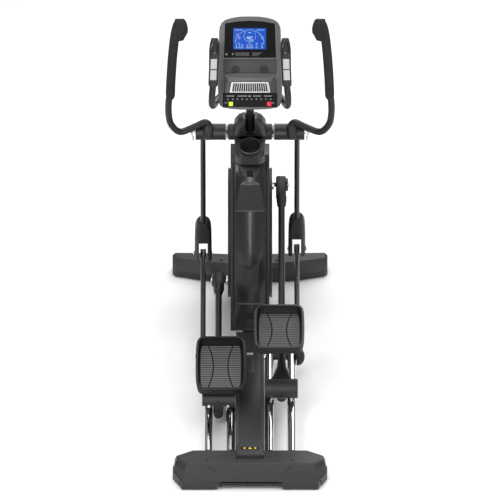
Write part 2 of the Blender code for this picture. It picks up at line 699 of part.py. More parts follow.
# ---------------------------------------------------------------- pivot shaft
shaft = rod_x("pivot_shaft", -0.2560, 0.2560, PIVOT[0], PIVOT[1], 0.0098, STEEL, 16)
for sign in (1, -1):
    weld(shaft, ring_loft("t", [[(sign * x, PIVOT[0] + p, PIVOT[1] + q) for p, q in circle(24, r)] for x, r in ((0.2530, 0.0395), (0.2580, 0.0395), (0.2605, 0.0360))]))

# ---------------------------------------------------------------- one side of the linkage
HANDLE = [(0.1865, 1.4850, 1.0350), (0.2070, 1.4800, 1.0400), (0.2568, 1.4520, 1.0435), (0.3170, 1.4200, 1.0397), (0.3560, 1.3950, 1.0930), (0.3670, 1.3800, 1.1590), (0.3655, 1.3720, 1.2313), (0.3590, 1.3690, 1.2480)]
GRIP = [(0.3590, 1.3690, 1.2480), (0.3570, 1.3640, 1.3200), (0.3530, 1.3560, 1.4000), (0.3470, 1.3450, 1.4900), (0.3370, 1.3320, 1.5900), (0.3230, 1.3150, 1.6650)]

for side, sign in (("right", 1), ("left", -1)):
    pose = POSE[side]
    axle, foot, fork, pin = pose["axle"], pose["foot"], pose["fork"], pose["pin"]

    # pedal arm: u along it from the roller axle, w above it
    arm = Frame(axle, pose["beta"])

    def X(x):
        return sign * x

    def section(u, width, height, r, w=0.0, steps=3):
        return [arm.at(X(ARM_X) + p, u, w + q) for p, q in rounded(width, height, r, steps)]

    body = ring_loft("pedal_arm_" + side, [[arm.at(X(ARM_X) + p, u, q) for p, q in circle(16, 0.0150)] for u in (0.120, ARM_L - 0.0683)], PAINT)
    weld(
        body,
        [
            ring_loft("t", [section(0.030, 0.100, 0.056, 0.012), section(0.070, 0.072, 0.052, 0.016), section(0.110, 0.044, 0.042, 0.018), section(0.165, 0.034, 0.034, 0.0165)]),
            arm.box("t", *sorted((X(0.1250), X(0.1590))), PIVOT_U - 0.021, PIVOT_U + 0.021, 0.0, PIVOT_W),
            rod_x("t", X(0.1250), X(0.1590), foot[0], foot[1], 0.0210),
        ],
    )
    cut(body, [rod_x("t", X(0.05), X(0.24), axle[0], axle[1], 0.0458, count=28), rod_x("t", X(0.10), X(0.18), foot[0], foot[1], 0.0085, count=20)])
    set_origin(body, (X(ARM_X), *axle))

    # crank head: the bearing block on the crank pin
    head = arm.box("crank_head_" + side, *sorted((X(0.1172), X(0.1640))), ARM_L - 0.0680, ARM_L + 0.0335, -0.0270, 0.0270, CHAR, 0.009, 2)
    weld(head, [rod_x("t", X(0.1086), X(0.1200), pin[0], pin[1], 0.0100, count=20), ring_loft("t", [[(X(x), pin[0] + p, pin[1] + q) for p, q in circle(20, r)] for x, r in ((0.1600, 0.0290), (0.1700, 0.0290), (0.1725, 0.0260))])])
    set_origin(head, (X(ARM_X), *pin))

    # carriage shell round the roller axle, cut away over the rails
    cart = rod_x("carriage_" + side, X(0.0676), X(0.2153), axle[0], axle[1], 0.0450, CHAR, 28)
    tab = ring_loft("t", [[arm.at(X(ARM_X) + p, u, w) for p, u in rounded(wide, 0.022, 0.008)] for w, wide in ((-0.0930, 0.020), (-0.0860, 0.038), (-0.0700, 0.046), (-0.0350, 0.046))])
    weld(cart, tab)
    cut(
        cart,
        [
            rod_x("t", X(0.0716), X(0.1180), axle[0], axle[1], 0.0410, count=24),
            rod_x("t", X(0.1660), X(0.2113), axle[0], axle[1], 0.0410, count=24),
            arm.box("t", *sorted((X(0.0600), X(0.1185))), -0.06, 0.06, -0.0700, -0.0100),
            arm.box("t", *sorted((X(0.1655), X(0.2250))), -0.06, 0.06, -0.0700, -0.0100),
            rod_x("t", X(0.0650), X(0.2180), axle[0], axle[1], 0.0064, count=16),
            rod_x("t", X(0.1150), X(0.1690), axle[0], axle[1], 0.0100, count=24),
        ],
    )
    set_origin(cart, (X(ARM_X), *axle))
    shaft = rod_x("roller_axle_" + side, X(0.0680), X(0.2149), axle[0], axle[1], 0.0060, STEEL, 16)
    set_origin(shaft, (X(ARM_X), *axle))
    tyre = [(-0.0145, 0.0375), (-0.0110, 0.0375), (-0.0050, 0.0344), (0.0050, 0.0344), (0.0110, 0.0375), (0.0145, 0.0375)]
    profile = [(X(RAIL_IN - 0.0145), 0.0063)] + [(X(RAIL_IN + x), r) for x, r in tyre] + [(X(RAIL_IN + 0.0145), 0.0092), (X(RAIL_OUT - 0.0145), 0.0092)] + [(X(RAIL_OUT + x), r) for x, r in tyre] + [(X(RAIL_OUT + 0.0145), 0.0063)]
    wheels = lathe_x("rollers_" + side, profile, axle[0], axle[1], GREY, 20)
    set_origin(wheels, (X(ARM_X), *axle))

    # foot link: from the foot pivot forward to the fork
    link = Frame(foot, pose["theta"])
    rod = ring_loft("foot_link_" + side, [[link.at(X(LINK_X) + p, u, q) for p, q in rounded(0.024, 0.034, 0.0115, 2)] for u in (-0.150, LINK_L - 0.010)], PAINT)
    tray = Frame(link.at(0, -PEDAL_A, PEDAL_B)[1:], pose["theta"] + PEDAL_T)
    weld(
        rod,
        [
            rod_x("t", X(0.1605), X(0.2126), foot[0], foot[1], 0.0150, count=24),
            rod_x("t", X(0.1180), X(0.1640), foot[0], foot[1], 0.0080, count=20),
            rod_x("t", X(0.1140), X(0.1232), foot[0], foot[1], 0.0140, count=20),
            rod_x("t", X(LINK_X - 0.0130), X(LINK_X + 0.0130), fork[0], fork[1], 0.0190, count=24),
            tray.box("t", *sorted((X(0.040), X(0.2246))), -0.110, 0.110, -0.0460, -0.0395),
            tray.box("t", *sorted((X(0.150), X(0.2246))), 0.020, 0.105, -0.0640, -0.0400),
        ],
    )
    set_origin(rod, (X(ARM_X), *foot))

    # pedal tray
    def tray_ring(n, grow, front=0.0, power=9):
        out = []
        for p, q in superellipse(0.2265 + 2 * grow, 0.376 + 2 * grow, power, 28):
            bulge = 1 - 0.035 * (q / 0.188) ** 2
            lift = front * max(0.0, (q - 0.02) / 0.17) ** 1.6
            out.append(tray.at(X(PEDAL_X) + p * bulge, q, n + lift))
        return out

    pedal = ring_loft("pedal_" + side, [tray_ring(-0.0380, -0.0120), tray_ring(-0.0340, -0.0040, 0.004), tray_ring(-0.0040, 0.0, 0.024), tray_ring(0.0, -0.0030, 0.026)], CHAR)
    cut(pedal, ring_loft("t", [tray_ring(-0.0240, -0.0180, 0.0), tray_ring(-0.0180, -0.0140, 0.002), tray_ring(0.0300, -0.0080, 0.040)]))
    tread = ring_loft("t", [tray_ring(-0.0270, -0.0220, 0.0), tray_ring(-0.0140, -0.0220, 0.002), tray_ring(-0.0130, -0.0240, 0.002)])
    weld(pedal, tread)
    set_origin(pedal, tray.at(X(PEDAL_X), 0, 0))

    # swing arm: t down from the mast pivot
    swing = Frame(PIVOT, pose["phi"] - math.pi / 2)
    swinger = ring_loft("swing_arm_" + side, [[swing.at(X(LINK_X) + p, u, q) for p, q in rounded(0.024, 0.044, 0.0115, 2)] for u in (0.010, 0.752)], PAINT)
    weld(swinger, rod_x("t", X(0.1085), X(0.2460), PIVOT[0], PIVOT[1], 0.0372, count=24))
    handle_low = [Vector((X(x), y, z)) for x, y, z in HANDLE]
    # socket for the handlebar on the sleeve
    weld(swinger, sweep("t", [(X(0.1865), 1.4905, 1.0150), (X(0.1865), 1.4850, 1.0345)], circle(24, 0.0200), side=(1, 0, 0)))
    cut(swinger, rod_x("t", X(0.09), X(0.26), PIVOT[0], PIVOT[1], 0.0106, count=16))
    set_origin(swinger, (X(LINK_X), *PIVOT))

    def across(point):
        return (X(point[0]), point[1], point[2])

    bend = [Vector((0.1865, 1.48480, 1.03520)), Vector((0.1865, 1.48400, 1.03800))] + smooth_path([(0.1880, 1.4825, 1.0440), (0.2070, 1.4780, 1.0545)] + HANDLE[2:], 2)
    grip_line = smooth_path(GRIP, 2)
    inside = grip_line[1:-3]
    tube = sweep("handlebar_" + side, [across(p) for p in bend + inside], circle(12, 0.0155), PAINT, side=(0, 1, 0))
    set_origin(tube, (X(LINK_X), *PIVOT))

    sizes = [0.90, 1.0] + [1.0] * (len(grip_line) - 4) + [0.97, 0.80]
    grip = sweep("grip_" + side, [across(p) for p in grip_line], circle(14, 0.0212), FOAM, side=(0, 1, 0), scales=sizes)
    # the paddle at the top: flat above, full on the inner side, running back into the grip below
    PADDLE = [(0.62, 0.97), (-0.52, 0.99), (-0.72, 0.76), (-0.88, 0.25), (-0.97, -0.25), (-0.93, -0.70), (-0.42, -1.80), (0.28, -2.00), (0.60, -0.90), (0.68, 0.20)]
    lobe = []
    centre = Vector((0.3150, 1.3230, 1.6360))
    for k in range(6):
        t = -1 + 2 * k / 5
        reach = math.sqrt(max(0.0, 1 - (0.97 * t) ** 2))
        lobe.append([(X(centre.x + 0.038 * reach * p), centre.y + 0.026 * t * 0.96 - 0.010 * reach * q, centre.z + 0.041 * reach * q + 0.012 * t) for p, q in PADDLE])
    weld(grip, ring_loft("t", lobe))
    cut(grip, sweep("t", [across(p) for p in [grip_line[0] - (grip_line[1] - grip_line[0])] + grip_line[:-3] + [grip_line[-4] + (grip_line[-3] - grip_line[-4]) * 0.3]], circle(12, 0.0168), side=(0, 1, 0), scales=[1.2, 1.12] + [1.0] * (len(grip_line) - 3)))
    set_origin(grip, (X(LINK_X), *PIVOT))

    # fork: a cover over the arm's end with two legs
    def fork_ring(t, half, deep):
        return [swing.at(X(LINK_X) + p, t, q) for p, q in rounded(2 * half, deep, min(half, deep / 2) * 0.5, 2)]

    clasp = ring_loft("fork_" + side, [fork_ring(0.640, 0.0170, 0.046), fork_ring(0.646, 0.0240, 0.054), fork_ring(0.660, 0.0310, 0.060), fork_ring(0.684, 0.0360, 0.065), fork_ring(0.720, 0.0378, 0.066), fork_ring(0.780, 0.0385, 0.066), fork_ring(0.860, 0.0388, 0.060), fork_ring(SWING_L + 0.030, 0.0388, 0.050)], CHAR)
    cut(
        clasp,
        [
            swing.box("t", *sorted((X(LINK_X - 0.0196), X(LINK_X + 0.0196))), 0.7720, 1.0, -0.05, 0.05),
            ring_loft("t", [[swing.at(X(LINK_X) + p, u, q) for p, q in rounded(0.0256, 0.0456, 0.0120, 2)] for u in (0.55, 0.758)]),
        ],
    )
    # the fork bolt's two heads; its shank is left out, because the link's eye swings free between the legs
    weld(clasp, [rod_x("t", X(LINK_X + 0.0300), X(LINK_X + 0.0425), fork[0], fork[1], 0.0105, count=16), rod_x("t", X(LINK_X - 0.0300), X(LINK_X - 0.0405), fork[0], fork[1], 0.0105, count=16)])
    set_origin(clasp, (X(LINK_X), *PIVOT))

# ---------------------------------------------------------------- console: s up its face, d out of it
CON = (1.100, 1.336)
CS, CC = 0.5, math.sqrt(0.75)
SIDE = 0.4190
CON_MATRIX = Matrix(((1, 0, 0, 0), (0, CS, -CC, CON[0]), (0, CC, CS, CON[1]), (0, 0, 0, 1)))


def con(x, s, d):
    return (x, CON[0] + CS * s - CC * d, CON[1] + CC * s + CS * d)


def con_box(name, x0, x1, s0, s1, d0, d1, look=None, round_by=0, segments=2):
    return block(name, CON_MATRIX, (x0, x1), (s0, s1), (d0, d1), look, round_by, segments)


CON_EDGE = [(0.0, 0.4195), (0.0419, 0.4190), (0.0812, 0.4130), (0.1113, 0.4039), (0.1279, 0.3903), (0.1361, 0.3723), (0.1385, 0.3541), (0.1394, 0.2998), (0.1406, 0.2394), (0.1430, 0.1791), (0.1451, 0.1339), (0.1451, 0.1037), (0.1436, 0.0675), (0.1406, 0.0374), (0.1355, 0.0192), (0.1204, 0.0087), (0.0812, 0.0027), (0.0419, 0.0003)]
CON_EDGE += [(0.0, 0.0)] + [(-x, s) for x, s in CON_EDGE[:0:-1]]


def con_face(d, grow=0.0):
    """The console's outline moved outwards by `grow`, at a depth d."""
    out = []
    for x, s in CON_EDGE:
        out.append(con(x * (1 + grow / 0.139), SIDE / 2 + (s - SIDE / 2) * (1 + grow / (SIDE / 2)), d))
    return out


GLASS_EDGE = [(-0.1165, 0.2337), (0.1165, 0.2337), (0.1115, 0.3865), (0.0580, 0.3955), (0.0, 0.3990), (-0.0580, 0.3955), (-0.1115, 0.3865)]


def glass_loft(name, grow, depths, look=None):
    """The display's outline, arched along its top."""
    return ring_loft(name, [[con(x * (1 + grow / 0.115), 0.316 + (s - 0.316) * (1 + grow / 0.083), d) for x, s in GLASS_EDGE] for d in depths], look)


face = ring_loft("console_front", [con_face(-0.0300), con_face(-0.0080), con_face(-0.0020, -0.002), con_face(0.0, -0.006)], GREY)
hood = ring_loft("t", [[con(x, s, d) for x, s in ((-0.1180, 0.0757), (0.1180, 0.0757), (0.1170, 0.110), (0.1150, 0.140), (0.1080, 0.1570), (-0.1080, 0.1570), (-0.1150, 0.140), (-0.1170, 0.110))] for d in (-0.004, 0.006)] + [[con(x, s, 0.020) for x, s in ((-0.1100, 0.0768), (0.1100, 0.0768), (0.1060, 0.100), (0.1000, 0.124), (0.093, 0.134), (-0.093, 0.134), (-0.1000, 0.124), (-0.1060, 0.100))]])
weld(face, hood)
cut(
    face,
    [
        glass_loft("t", 0.0005, (-0.0060, 0.03)),
        con_box("t", -0.1200, 0.1200, 0.1585, 0.2265, -0.0040, 0.03),
        con_box("t", -0.1233, 0.1233, 0.0113, 0.0750, -0.0040, 0.03),
        con_box("t", -0.0960, -0.0764, 0.0160, 0.0358, -0.0140, 0.03),
        con_box("t", 0.0764, 0.0960, 0.0160, 0.0358, -0.0140, 0.03),
        ring_loft("t", [[con(x, s, d) for x, s in ((-0.0903, 0.0777), (0.0903, 0.0777), (0.0823, 0.1220), (-0.0823, 0.1220))] for d in (0.0120, 0.03)]),
        ring_loft("t", [[con(x, s, d) for x, s in ((-0.0803, 0.0820), (0.0803, 0.0820), (0.0743, 0.1170), (-0.0743, 0.1170))] for d in (-0.05, 0.03)]),
    ],
)

back = ring_loft("console_back", [con_face(-0.0303, -0.0005), con_face(-0.0450, -0.004), con_face(-0.0700, -0.020), con_face(-0.0830, -0.045)], CHAR)
cut(back, [ring_loft("t", [con_face(-0.0620, -0.028), con_face(-0.0450, -0.012), con_face(-0.0200, -0.012)])])
fan_post = ring_loft("t", [[con(p, 0.0975 + q, d) for p, q in circle(16, 0.006)] for d in (-0.0650, -0.0480)])
weld(back, fan_post)

glass = bevel(glass_loft("display", 0.0, (-0.0056, -0.0008), GLASS), 0.0012, 1, 50)
keys = con_box("key_panel", -0.1228, 0.1228, 0.0118, 0.0745, -0.0036, -0.0004, BLACK, 0.0010, 1)
cut(keys, [con_box("t", -0.0960, -0.0764, 0.0160, 0.0358, -0.0140, 0.03), con_box("t", 0.0764, 0.0960, 0.0160, 0.0358, -0.0140, 0.03)])
for name, x0, look in (("start_key", -0.0957, GREEN), ("stop_key", 0.0767, RED)):
    key = con_box(name, x0, x0 + 0.0190, 0.0163, 0.0355, -0.0100, 0.0022, look, 0.0012, 2)
    set_origin(key, con(x0 + 0.0095, 0.0259, 0.0022))

grille = ring_loft("fan_grille", [[con(x, s, d) for x, s in ((-0.0900, 0.0780), (0.0900, 0.0780), (0.0820, 0.1217), (-0.0820, 0.1217))] for d in (0.0123, 0.0200)], SILVER)
slots = None
for k in range(16):
    t = -1 + (2 * k + 1) / 16
    low, high = 0.0820 * t, 0.0750 * t
    bar = ring_loft("t", [[con(x, s, d) for x, s in ((low - 0.0036, 0.0812), (low + 0.0036, 0.0812), (high + 0.0033, 0.1180), (high - 0.0033, 0.1180))] for d in (0.0, 0.03)])
    slots = join(slots, [bar]) if slots else bar
cut(grille, slots)

fan = ring_loft("fan_rotor", [[con(p, 0.0975 + q, d) for p, q in circle(12, r)] for d, r in ((-0.0475, 0.0130), (-0.0380, 0.0130), (-0.0360, 0.0090))], BLACK)
for k in range(5):
    a = TAU * k / 5
    blade = []
    for r, wide, twist in ((0.010, 0.008, 0.65), (0.024, 0.013, 0.55), (0.0345, 0.015, 0.45)):
        ring = []
        for u, w in ((-wide, -0.0007), (wide, -0.0007), (wide, 0.0007), (-wide, 0.0007)):
            across_, out_ = u * math.cos(twist) - w * math.sin(twist), u * math.sin(twist) * 0.45 + w
            ring.append(con(r * math.cos(a) - across_ * math.sin(a), 0.0975 + r * math.sin(a) + across_ * math.cos(a), -0.0418 + out_))
        blade.append(ring)
    weld(fan, ring_loft("t", blade))
set_origin(fan, con(0, 0.0975, -0.0418))

# ---------------------------------------------------------------- fixed pulse bar, grips, thumb keys
PULSE = [(0.1600, 1.1480, 1.6300), (0.1625, 1.1150, 1.5550), (0.1660, 1.0800, 1.4780), (0.1710, 1.0640, 1.4200), (0.1700, 1.0780, 1.3720), (0.1600, 1.1400, 1.3400), (0.1400, 1.2150, 1.3330), (0.1050, 1.2440, 1.3440), (0.0500, 1.2520, 1.3560), (0.0, 1.2540, 1.3600)]
half = smooth_path(PULSE[1:], 2)
whole = half[:-1] + [Vector((-p.x, p.y, p.z)) for p in half[::-1]]
bar = sweep("pulse_bar", whole, circle(12, 0.0150), PAINT, side=(0, 1, 0))
clamp_frame = Frame((1.2900, 1.3640), math.atan2(MAST_TOP[1] - PIVOT[1], MAST_TOP[0] - PIVOT[0]) - math.pi / 2)
weld(bar, clamp_frame.box("t", -0.0190, 0.0190, -0.0400, -0.0185, -0.022, 0.022))
cut(bar, sweep("t", mast_path(), circle(20, MAST_R + 0.0006)))

for side, sign in (("right", 1), ("left", -1)):
    line = [Vector((sign * x, y, z)) for x, y, z in ((0.1664, 1.0768, 1.4705), (0.1658, 1.0810, 1.4810), (0.1633, 1.1070, 1.5375), (0.1616, 1.1250, 1.5790), (0.1600, 1.1420, 1.6180), (0.1589, 1.1540, 1.6455), (0.1581, 1.1640, 1.6690))]
    along = (line[-1] - line[0]).normalized()
    face_out = Vector((0, -along.z, along.y)).normalized()
    profile = [(p, q) for p, q in rounded(0.0430, 0.0400, 0.0190, 3)]
    hand = sweep("pulse_grip_" + side, line, profile, GREY, side=(1, 0, 0), scales=[0.90, 1.0, 1.0, 1.06, 1.12, 1.0, 0.70])
    base = line[0]
    # sensor plates, set on the face of the grip
    for a, b in ((0.030, 0.074), (0.080, 0.124)):
        plate = []
        for wide, out in ((0.0135, 0.0170), (0.0135, 0.0205), (0.0120, 0.0212)):
            plate.append([tuple(base + along * t + face_out * out + Vector((sign * 0.0 + u, 0, 0))) for u, t in ((-wide, a), (wide, a), (wide, b), (-wide, b))])
        weld(hand, ring_loft("t", plate))
    tip = base + along * 0.1745
    cut(hand, sweep("t", [Vector((sign * p.x, p.y, p.z)) for p in ([half[0] + (half[0] - half[1]) * 0.05] + half[:7])], circle(12, 0.0164), side=(0, 1, 0)))
    hole = [[tuple(tip + Vector((p, 0, 0)) + along * q + face_out * d) for p, q in circle(20, 0.0133, 0.0193)] for d in (0.0070, 0.06)]
    cut(hand, ring_loft("t", hole))
    button = ring_loft("thumb_key_" + side, [[tuple(tip + Vector((p, 0, 0)) + along * q + face_out * d) for p, q in circle(20, 0.0129 * k, 0.0189 * k)] for d, k in ((0.0110, 1), (0.0225, 1), (0.0250, 0.84))], BLACK)
    set_origin(button, tuple(tip + face_out * 0.0250))

# ---------------------------------------------------------------- shading
for obj in parts.objects:
    obj.data.shade_smooth()
    obj.data.set_sharp_from_angle(angle=math.radians(35))
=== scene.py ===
"""Looks of the elliptical trainer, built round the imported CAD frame."""

import json
import math

import bmesh
import bpy
import numpy as np
from mathutils import Matrix, Vector


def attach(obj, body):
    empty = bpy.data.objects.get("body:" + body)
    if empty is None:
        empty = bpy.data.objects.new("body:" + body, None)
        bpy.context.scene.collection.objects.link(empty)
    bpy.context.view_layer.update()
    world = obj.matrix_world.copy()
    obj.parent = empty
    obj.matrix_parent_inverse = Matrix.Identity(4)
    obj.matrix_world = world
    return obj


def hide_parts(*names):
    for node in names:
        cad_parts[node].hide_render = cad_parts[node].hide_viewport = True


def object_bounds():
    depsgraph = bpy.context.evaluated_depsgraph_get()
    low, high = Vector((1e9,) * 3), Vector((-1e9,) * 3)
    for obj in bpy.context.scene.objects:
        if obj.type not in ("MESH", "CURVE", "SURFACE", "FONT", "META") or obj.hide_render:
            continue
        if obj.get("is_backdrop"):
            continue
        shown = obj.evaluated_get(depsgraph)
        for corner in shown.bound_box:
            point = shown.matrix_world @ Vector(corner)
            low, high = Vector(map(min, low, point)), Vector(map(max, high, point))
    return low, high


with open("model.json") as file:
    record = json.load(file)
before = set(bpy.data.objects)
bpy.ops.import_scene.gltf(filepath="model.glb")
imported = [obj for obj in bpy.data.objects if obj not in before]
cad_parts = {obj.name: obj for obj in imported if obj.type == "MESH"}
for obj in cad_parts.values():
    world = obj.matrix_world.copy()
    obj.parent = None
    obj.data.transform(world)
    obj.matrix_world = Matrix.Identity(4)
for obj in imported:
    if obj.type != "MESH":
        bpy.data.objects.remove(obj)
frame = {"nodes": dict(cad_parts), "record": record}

scene = bpy.context.scene
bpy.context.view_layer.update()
NODE_BODY = {node: name for name, nodes in frame["record"]["behaviour"]["bodies"].items() for node in nodes}
BUILT = {}
parts = bpy.data.collections.new("looks")
scene.collection.children.link(parts)

# ---------------------------------------------------------------- driving dimensions (forward distances from the rear edge)
HALF = 1.0  # half of the overall length
CRANK = (1.6635, 0.3744)  # crank axis, forward and up
CRANK_R = 0.2587
CRANK_DEG = 92.869  # right crank, measured up from straight ahead
ARM_L = 1.0989  # roller axle to crank pin
AXLE_Z = 0.1342  # roller axle height
PIVOT_U, PIVOT_W = 0.3074, 0.0516  # foot pivot on the pedal arm, along and above
LINK_L = 0.9380  # foot pivot to fork
SWING_L = 0.8819  # mast pivot to fork
PIVOT = (1.4998, 0.9943)  # mast pivot
PEDAL_A, PEDAL_B, PEDAL_T = 0.1765, 0.0566, 0.0969  # pedal centre behind and above the foot pivot, and its tilt on the link
ARM_X = 0.1428
LINK_X = 0.2126
PEDAL_X = 0.1318
RAIL_IN, RAIL_OUT, RAIL_R, RAIL_Z = 0.0878, 0.1880, 0.020, 0.0795
DISC_R = 0.295
HOUSING_X = 0.088
GAP = 0.0003

FINENESS = 2.0
TAU = 2 * math.pi


# ---------------------------------------------------------------- helpers
BLACK = ("plastic_black", (0.030, 0.030, 0.032), 0.55, 0)
CHAR = ("plastic_charcoal", (0.060, 0.060, 0.063), 0.5, 0)
GREY = ("plastic_grey", (0.14, 0.14, 0.145), 0.5, 0)
PAINT = ("paint_charcoal", (0.045, 0.045, 0.048), 0.35, 0.3)
STEEL = ("steel", (0.6, 0.6, 0.6), 0.3, 1)
CHROME = ("chrome", (0.8, 0.8, 0.8), 0.1, 1)
RUBBER = ("rubber", (0.02, 0.02, 0.02), 0.9, 0)
FOAM = ("foam", (0.025, 0.025, 0.025), 0.95, 0)
GLASS = ("display", (0.01, 0.01, 0.012), 0.08, 0)
SILVER = ("silver", (0.5, 0.5, 0.5), 0.35, 0.8)
GREEN = ("green", (0.4, 0.6, 0.06), 0.5, 0)
RED = ("red", (0.7, 0.02, 0.05), 0.5, 0)
IRON = ("iron", (0.2, 0.2, 0.2), 0.6, 1)


def made(name, bm, look=None, origin=None):
    """An object from a bmesh drawn with forward distances. One that has a CAD node's name is kept to stand for it."""
    bmesh.ops.translate(bm, verts=bm.verts, vec=(0, -HALF, 0))
    bmesh.ops.recalc_face_normals(bm, faces=bm.faces)
    return adopt(name, bm)


def adopt(name, bm=None, mesh=None):
    node = name in frame["nodes"]
    if mesh is None:
        mesh = bpy.data.meshes.new(name + "_skin")
        bm.to_mesh(mesh)
        bm.free()
    obj = bpy.data.objects.new(name + "_skin" if node else name, mesh)
    parts.objects.link(obj)
    if node:
        BUILT[name] = obj
    return obj


def set_origin(obj, origin):
    return obj


def evaluated(obj):
    bpy.context.view_layer.update()
    graph = bpy.context.evaluated_depsgraph_get()
    mesh = bpy.data.meshes.new_from_object(obj.evaluated_get(graph))
    obj.modifiers.clear()
    old = obj.data
    obj.data = mesh
    mesh.name = obj.name
    bpy.data.meshes.remove(old)
    return obj


def tidy(obj):
    bm = bmesh.new()
    bm.from_mesh(obj.data)
    bmesh.ops.remove_doubles(bm, verts=bm.verts, dist=1e-5)
    bmesh.ops.dissolve_degenerate(bm, edges=bm.edges, dist=1e-5)
    bm.to_mesh(obj.data)
    bm.free()
    return obj


def boolean(obj, others, operation="DIFFERENCE"):
    for other in others if isinstance(others, (list, tuple)) else [others]:
        modifier = obj.modifiers.new(operation.lower(), "BOOLEAN")
        modifier.operation = operation
        modifier.solver = "EXACT"
        modifier.object = other
        evaluated(obj)
        bpy.data.objects.remove(other, do_unlink=True)
    return tidy(obj)


def cut(obj, others):
    return boolean(obj, others, "DIFFERENCE")


def weld(obj, others):
    return boolean(obj, others, "UNION")


def bevel(obj, width, segments=2, angle=35):
    modifier = obj.modifiers.new("bevel", "BEVEL")
    modifier.width = width
    modifier.segments = segments
    modifier.limit_method = "ANGLE"
    modifier.angle_limit = math.radians(angle)
    modifier.harden_normals = False
    return tidy(evaluated(obj))


def join(obj, others):
    """Several closed bodies in one object."""
    bm = bmesh.new()
    bm.from_mesh(obj.data)
    for other in others:
        copy = other.data.copy()
        copy.transform(obj.matrix_world.inverted() @ other.matrix_world)
        bm.from_mesh(copy)
        bpy.data.objects.remove(other, do_unlink=True)
    bm.to_mesh(obj.data)
    bm.free()
    return obj


def box(name, x0, x1, y0, y1, z0, z1, look=None, round_by=0, segments=2):
    bm = bmesh.new()
    bmesh.ops.create_cube(bm, size=1)
    bmesh.ops.scale(bm, verts=bm.verts, vec=(x1 - x0, y1 - y0, z1 - z0))
    bmesh.ops.translate(bm, verts=bm.verts, vec=((x0 + x1) / 2, (y0 + y1) / 2, (z0 + z1) / 2))
    obj = made(name, bm, look)
    return bevel(obj, round_by, segments) if round_by else obj


def ring_loft(name, rings, look=None, closed=False):
    """A closed body through rings of equal length."""
    bm = bmesh.new()
    rows = [[bm.verts.new(Vector(p)) for p in ring] for ring in rings]
    count = len(rows[0])
    pairs = list(zip(rows, rows[1:])) + ([(rows[-1], rows[0])] if closed else [])
    for a, b in pairs:
        for i in range(count):
            j = (i + 1) % count
            bm.faces.new((a[i], a[j], b[j], b[i]))
    if not closed:
        bm.faces.new(rows[0][::-1])
        bm.faces.new(rows[-1])
    return made(name, bm, look)


def sides(count):
    """How many sides a round shape gets."""
    return max(10, 2 * round(count * FINENESS / 2))


def circle(count, radius, radius2=None):
    count = sides(count)
    return [(radius * math.cos(TAU * i / count), (radius2 or radius) * math.sin(TAU * i / count)) for i in range(count)]


def rounded(width, height, radius, steps=2):
    """A rounded rectangle centred on the origin."""
    points = []
    steps *= 3
    for cx, cy, start in ((1, 1, 0), (-1, 1, 90), (-1, -1, 180), (1, -1, 270)):
        for k in range(steps + 1):
            a = math.radians(start + 90 * k / steps)
            points.append((cx * (width / 2 - radius) + radius * math.cos(a), cy * (height / 2 - radius) + radius * math.sin(a)))
    return points


def superellipse(width, height, power=4, count=28):
    out = []
    count *= 4
    for i in range(count):
        a = TAU * i / count
        c, s = math.cos(a), math.sin(a)
        out.append((width / 2 * math.copysign(abs(c) ** (2 / power), c), height / 2 * math.copysign(abs(s) ** (2 / power), s)))
    return out


def rod_x(name, x0, x1, y, z, radius, look=None, count=16, radius2=None):
    """A cylinder or cone along X."""
    bm = bmesh.new()
    turn = Matrix.Rotation(math.radians(90 if x1 > x0 else -90), 4, "Y")
    bmesh.ops.create_cone(bm, cap_ends=True, segments=sides(count), radius1=radius, radius2=radius if radius2 is None else radius2, depth=abs(x1 - x0), matrix=Matrix.Translation(((x0 + x1) / 2, y, z)) @ turn)
    return made(name, bm, look)


def lathe_x(name, profile, y, z, look=None, count=20):
    """A profile of (x, radius) turned once round an X axis."""
    bm = bmesh.new()
    ring = [bm.verts.new((x, r + HALF, 0)) for x, r in profile]
    for i, v in enumerate(ring):
        bm.edges.new((ring[i - 1], v))
    obj = made(name, bm, look)
    screw = obj.modifiers.new("turn", "SCREW")
    screw.axis = "X"
    screw.steps = screw.render_steps = sides(count)
    screw.use_merge_vertices = True
    screw.merge_threshold = 1e-5
    evaluated(obj)
    obj.data.transform(Matrix.Translation((0, y - HALF, z)))
    return outward(obj)


def outward(obj):
    bm = bmesh.new()
    bm.from_mesh(obj.data)
    bmesh.ops.remove_doubles(bm, verts=bm.verts, dist=1e-5)
    bmesh.ops.recalc_face_normals(bm, faces=bm.faces)
    bm.to_mesh(obj.data)
    bm.free()
    return obj


def from_curve(name, curve, look, matrix):
    """The mesh of a curve, moved by `matrix`."""
    drawn = bpy.data.objects.new("drawn", curve)
    parts.objects.link(drawn)
    bpy.context.view_layer.update()
    mesh = bpy.data.meshes.new_from_object(drawn.evaluated_get(bpy.context.evaluated_depsgraph_get()))
    bpy.data.objects.remove(drawn, do_unlink=True)
    bm = bmesh.new()
    bm.from_mesh(mesh)
    bpy.data.meshes.remove(mesh)
    bmesh.ops.transform(bm, matrix=matrix, verts=bm.verts)
    bmesh.ops.remove_doubles(bm, verts=bm.verts, dist=1e-6)
    bmesh.ops.dissolve_limit(bm, angle_limit=1e-4, verts=bm.verts, edges=bm.edges)
    return made(name, bm, look)


def bar_along(name, path, radius, look=None, count=12, scales=None):
    """A round bar along a path, with flat ends."""
    curve = bpy.data.curves.new(name, "CURVE")
    curve.dimensions = "3D"
    curve.bevel_depth = radius
    curve.bevel_resolution = max(0, (count - 4) // 2)
    curve.use_fill_caps = True
    line = curve.splines.new("POLY")
    line.points.add(len(path) - 1)
    for i, p in enumerate(path):
        line.points[i].co = (*p, 1)
        line.points[i].radius = scales[i] if scales else 1
    return from_curve(name, curve, look, Matrix.Identity(4))


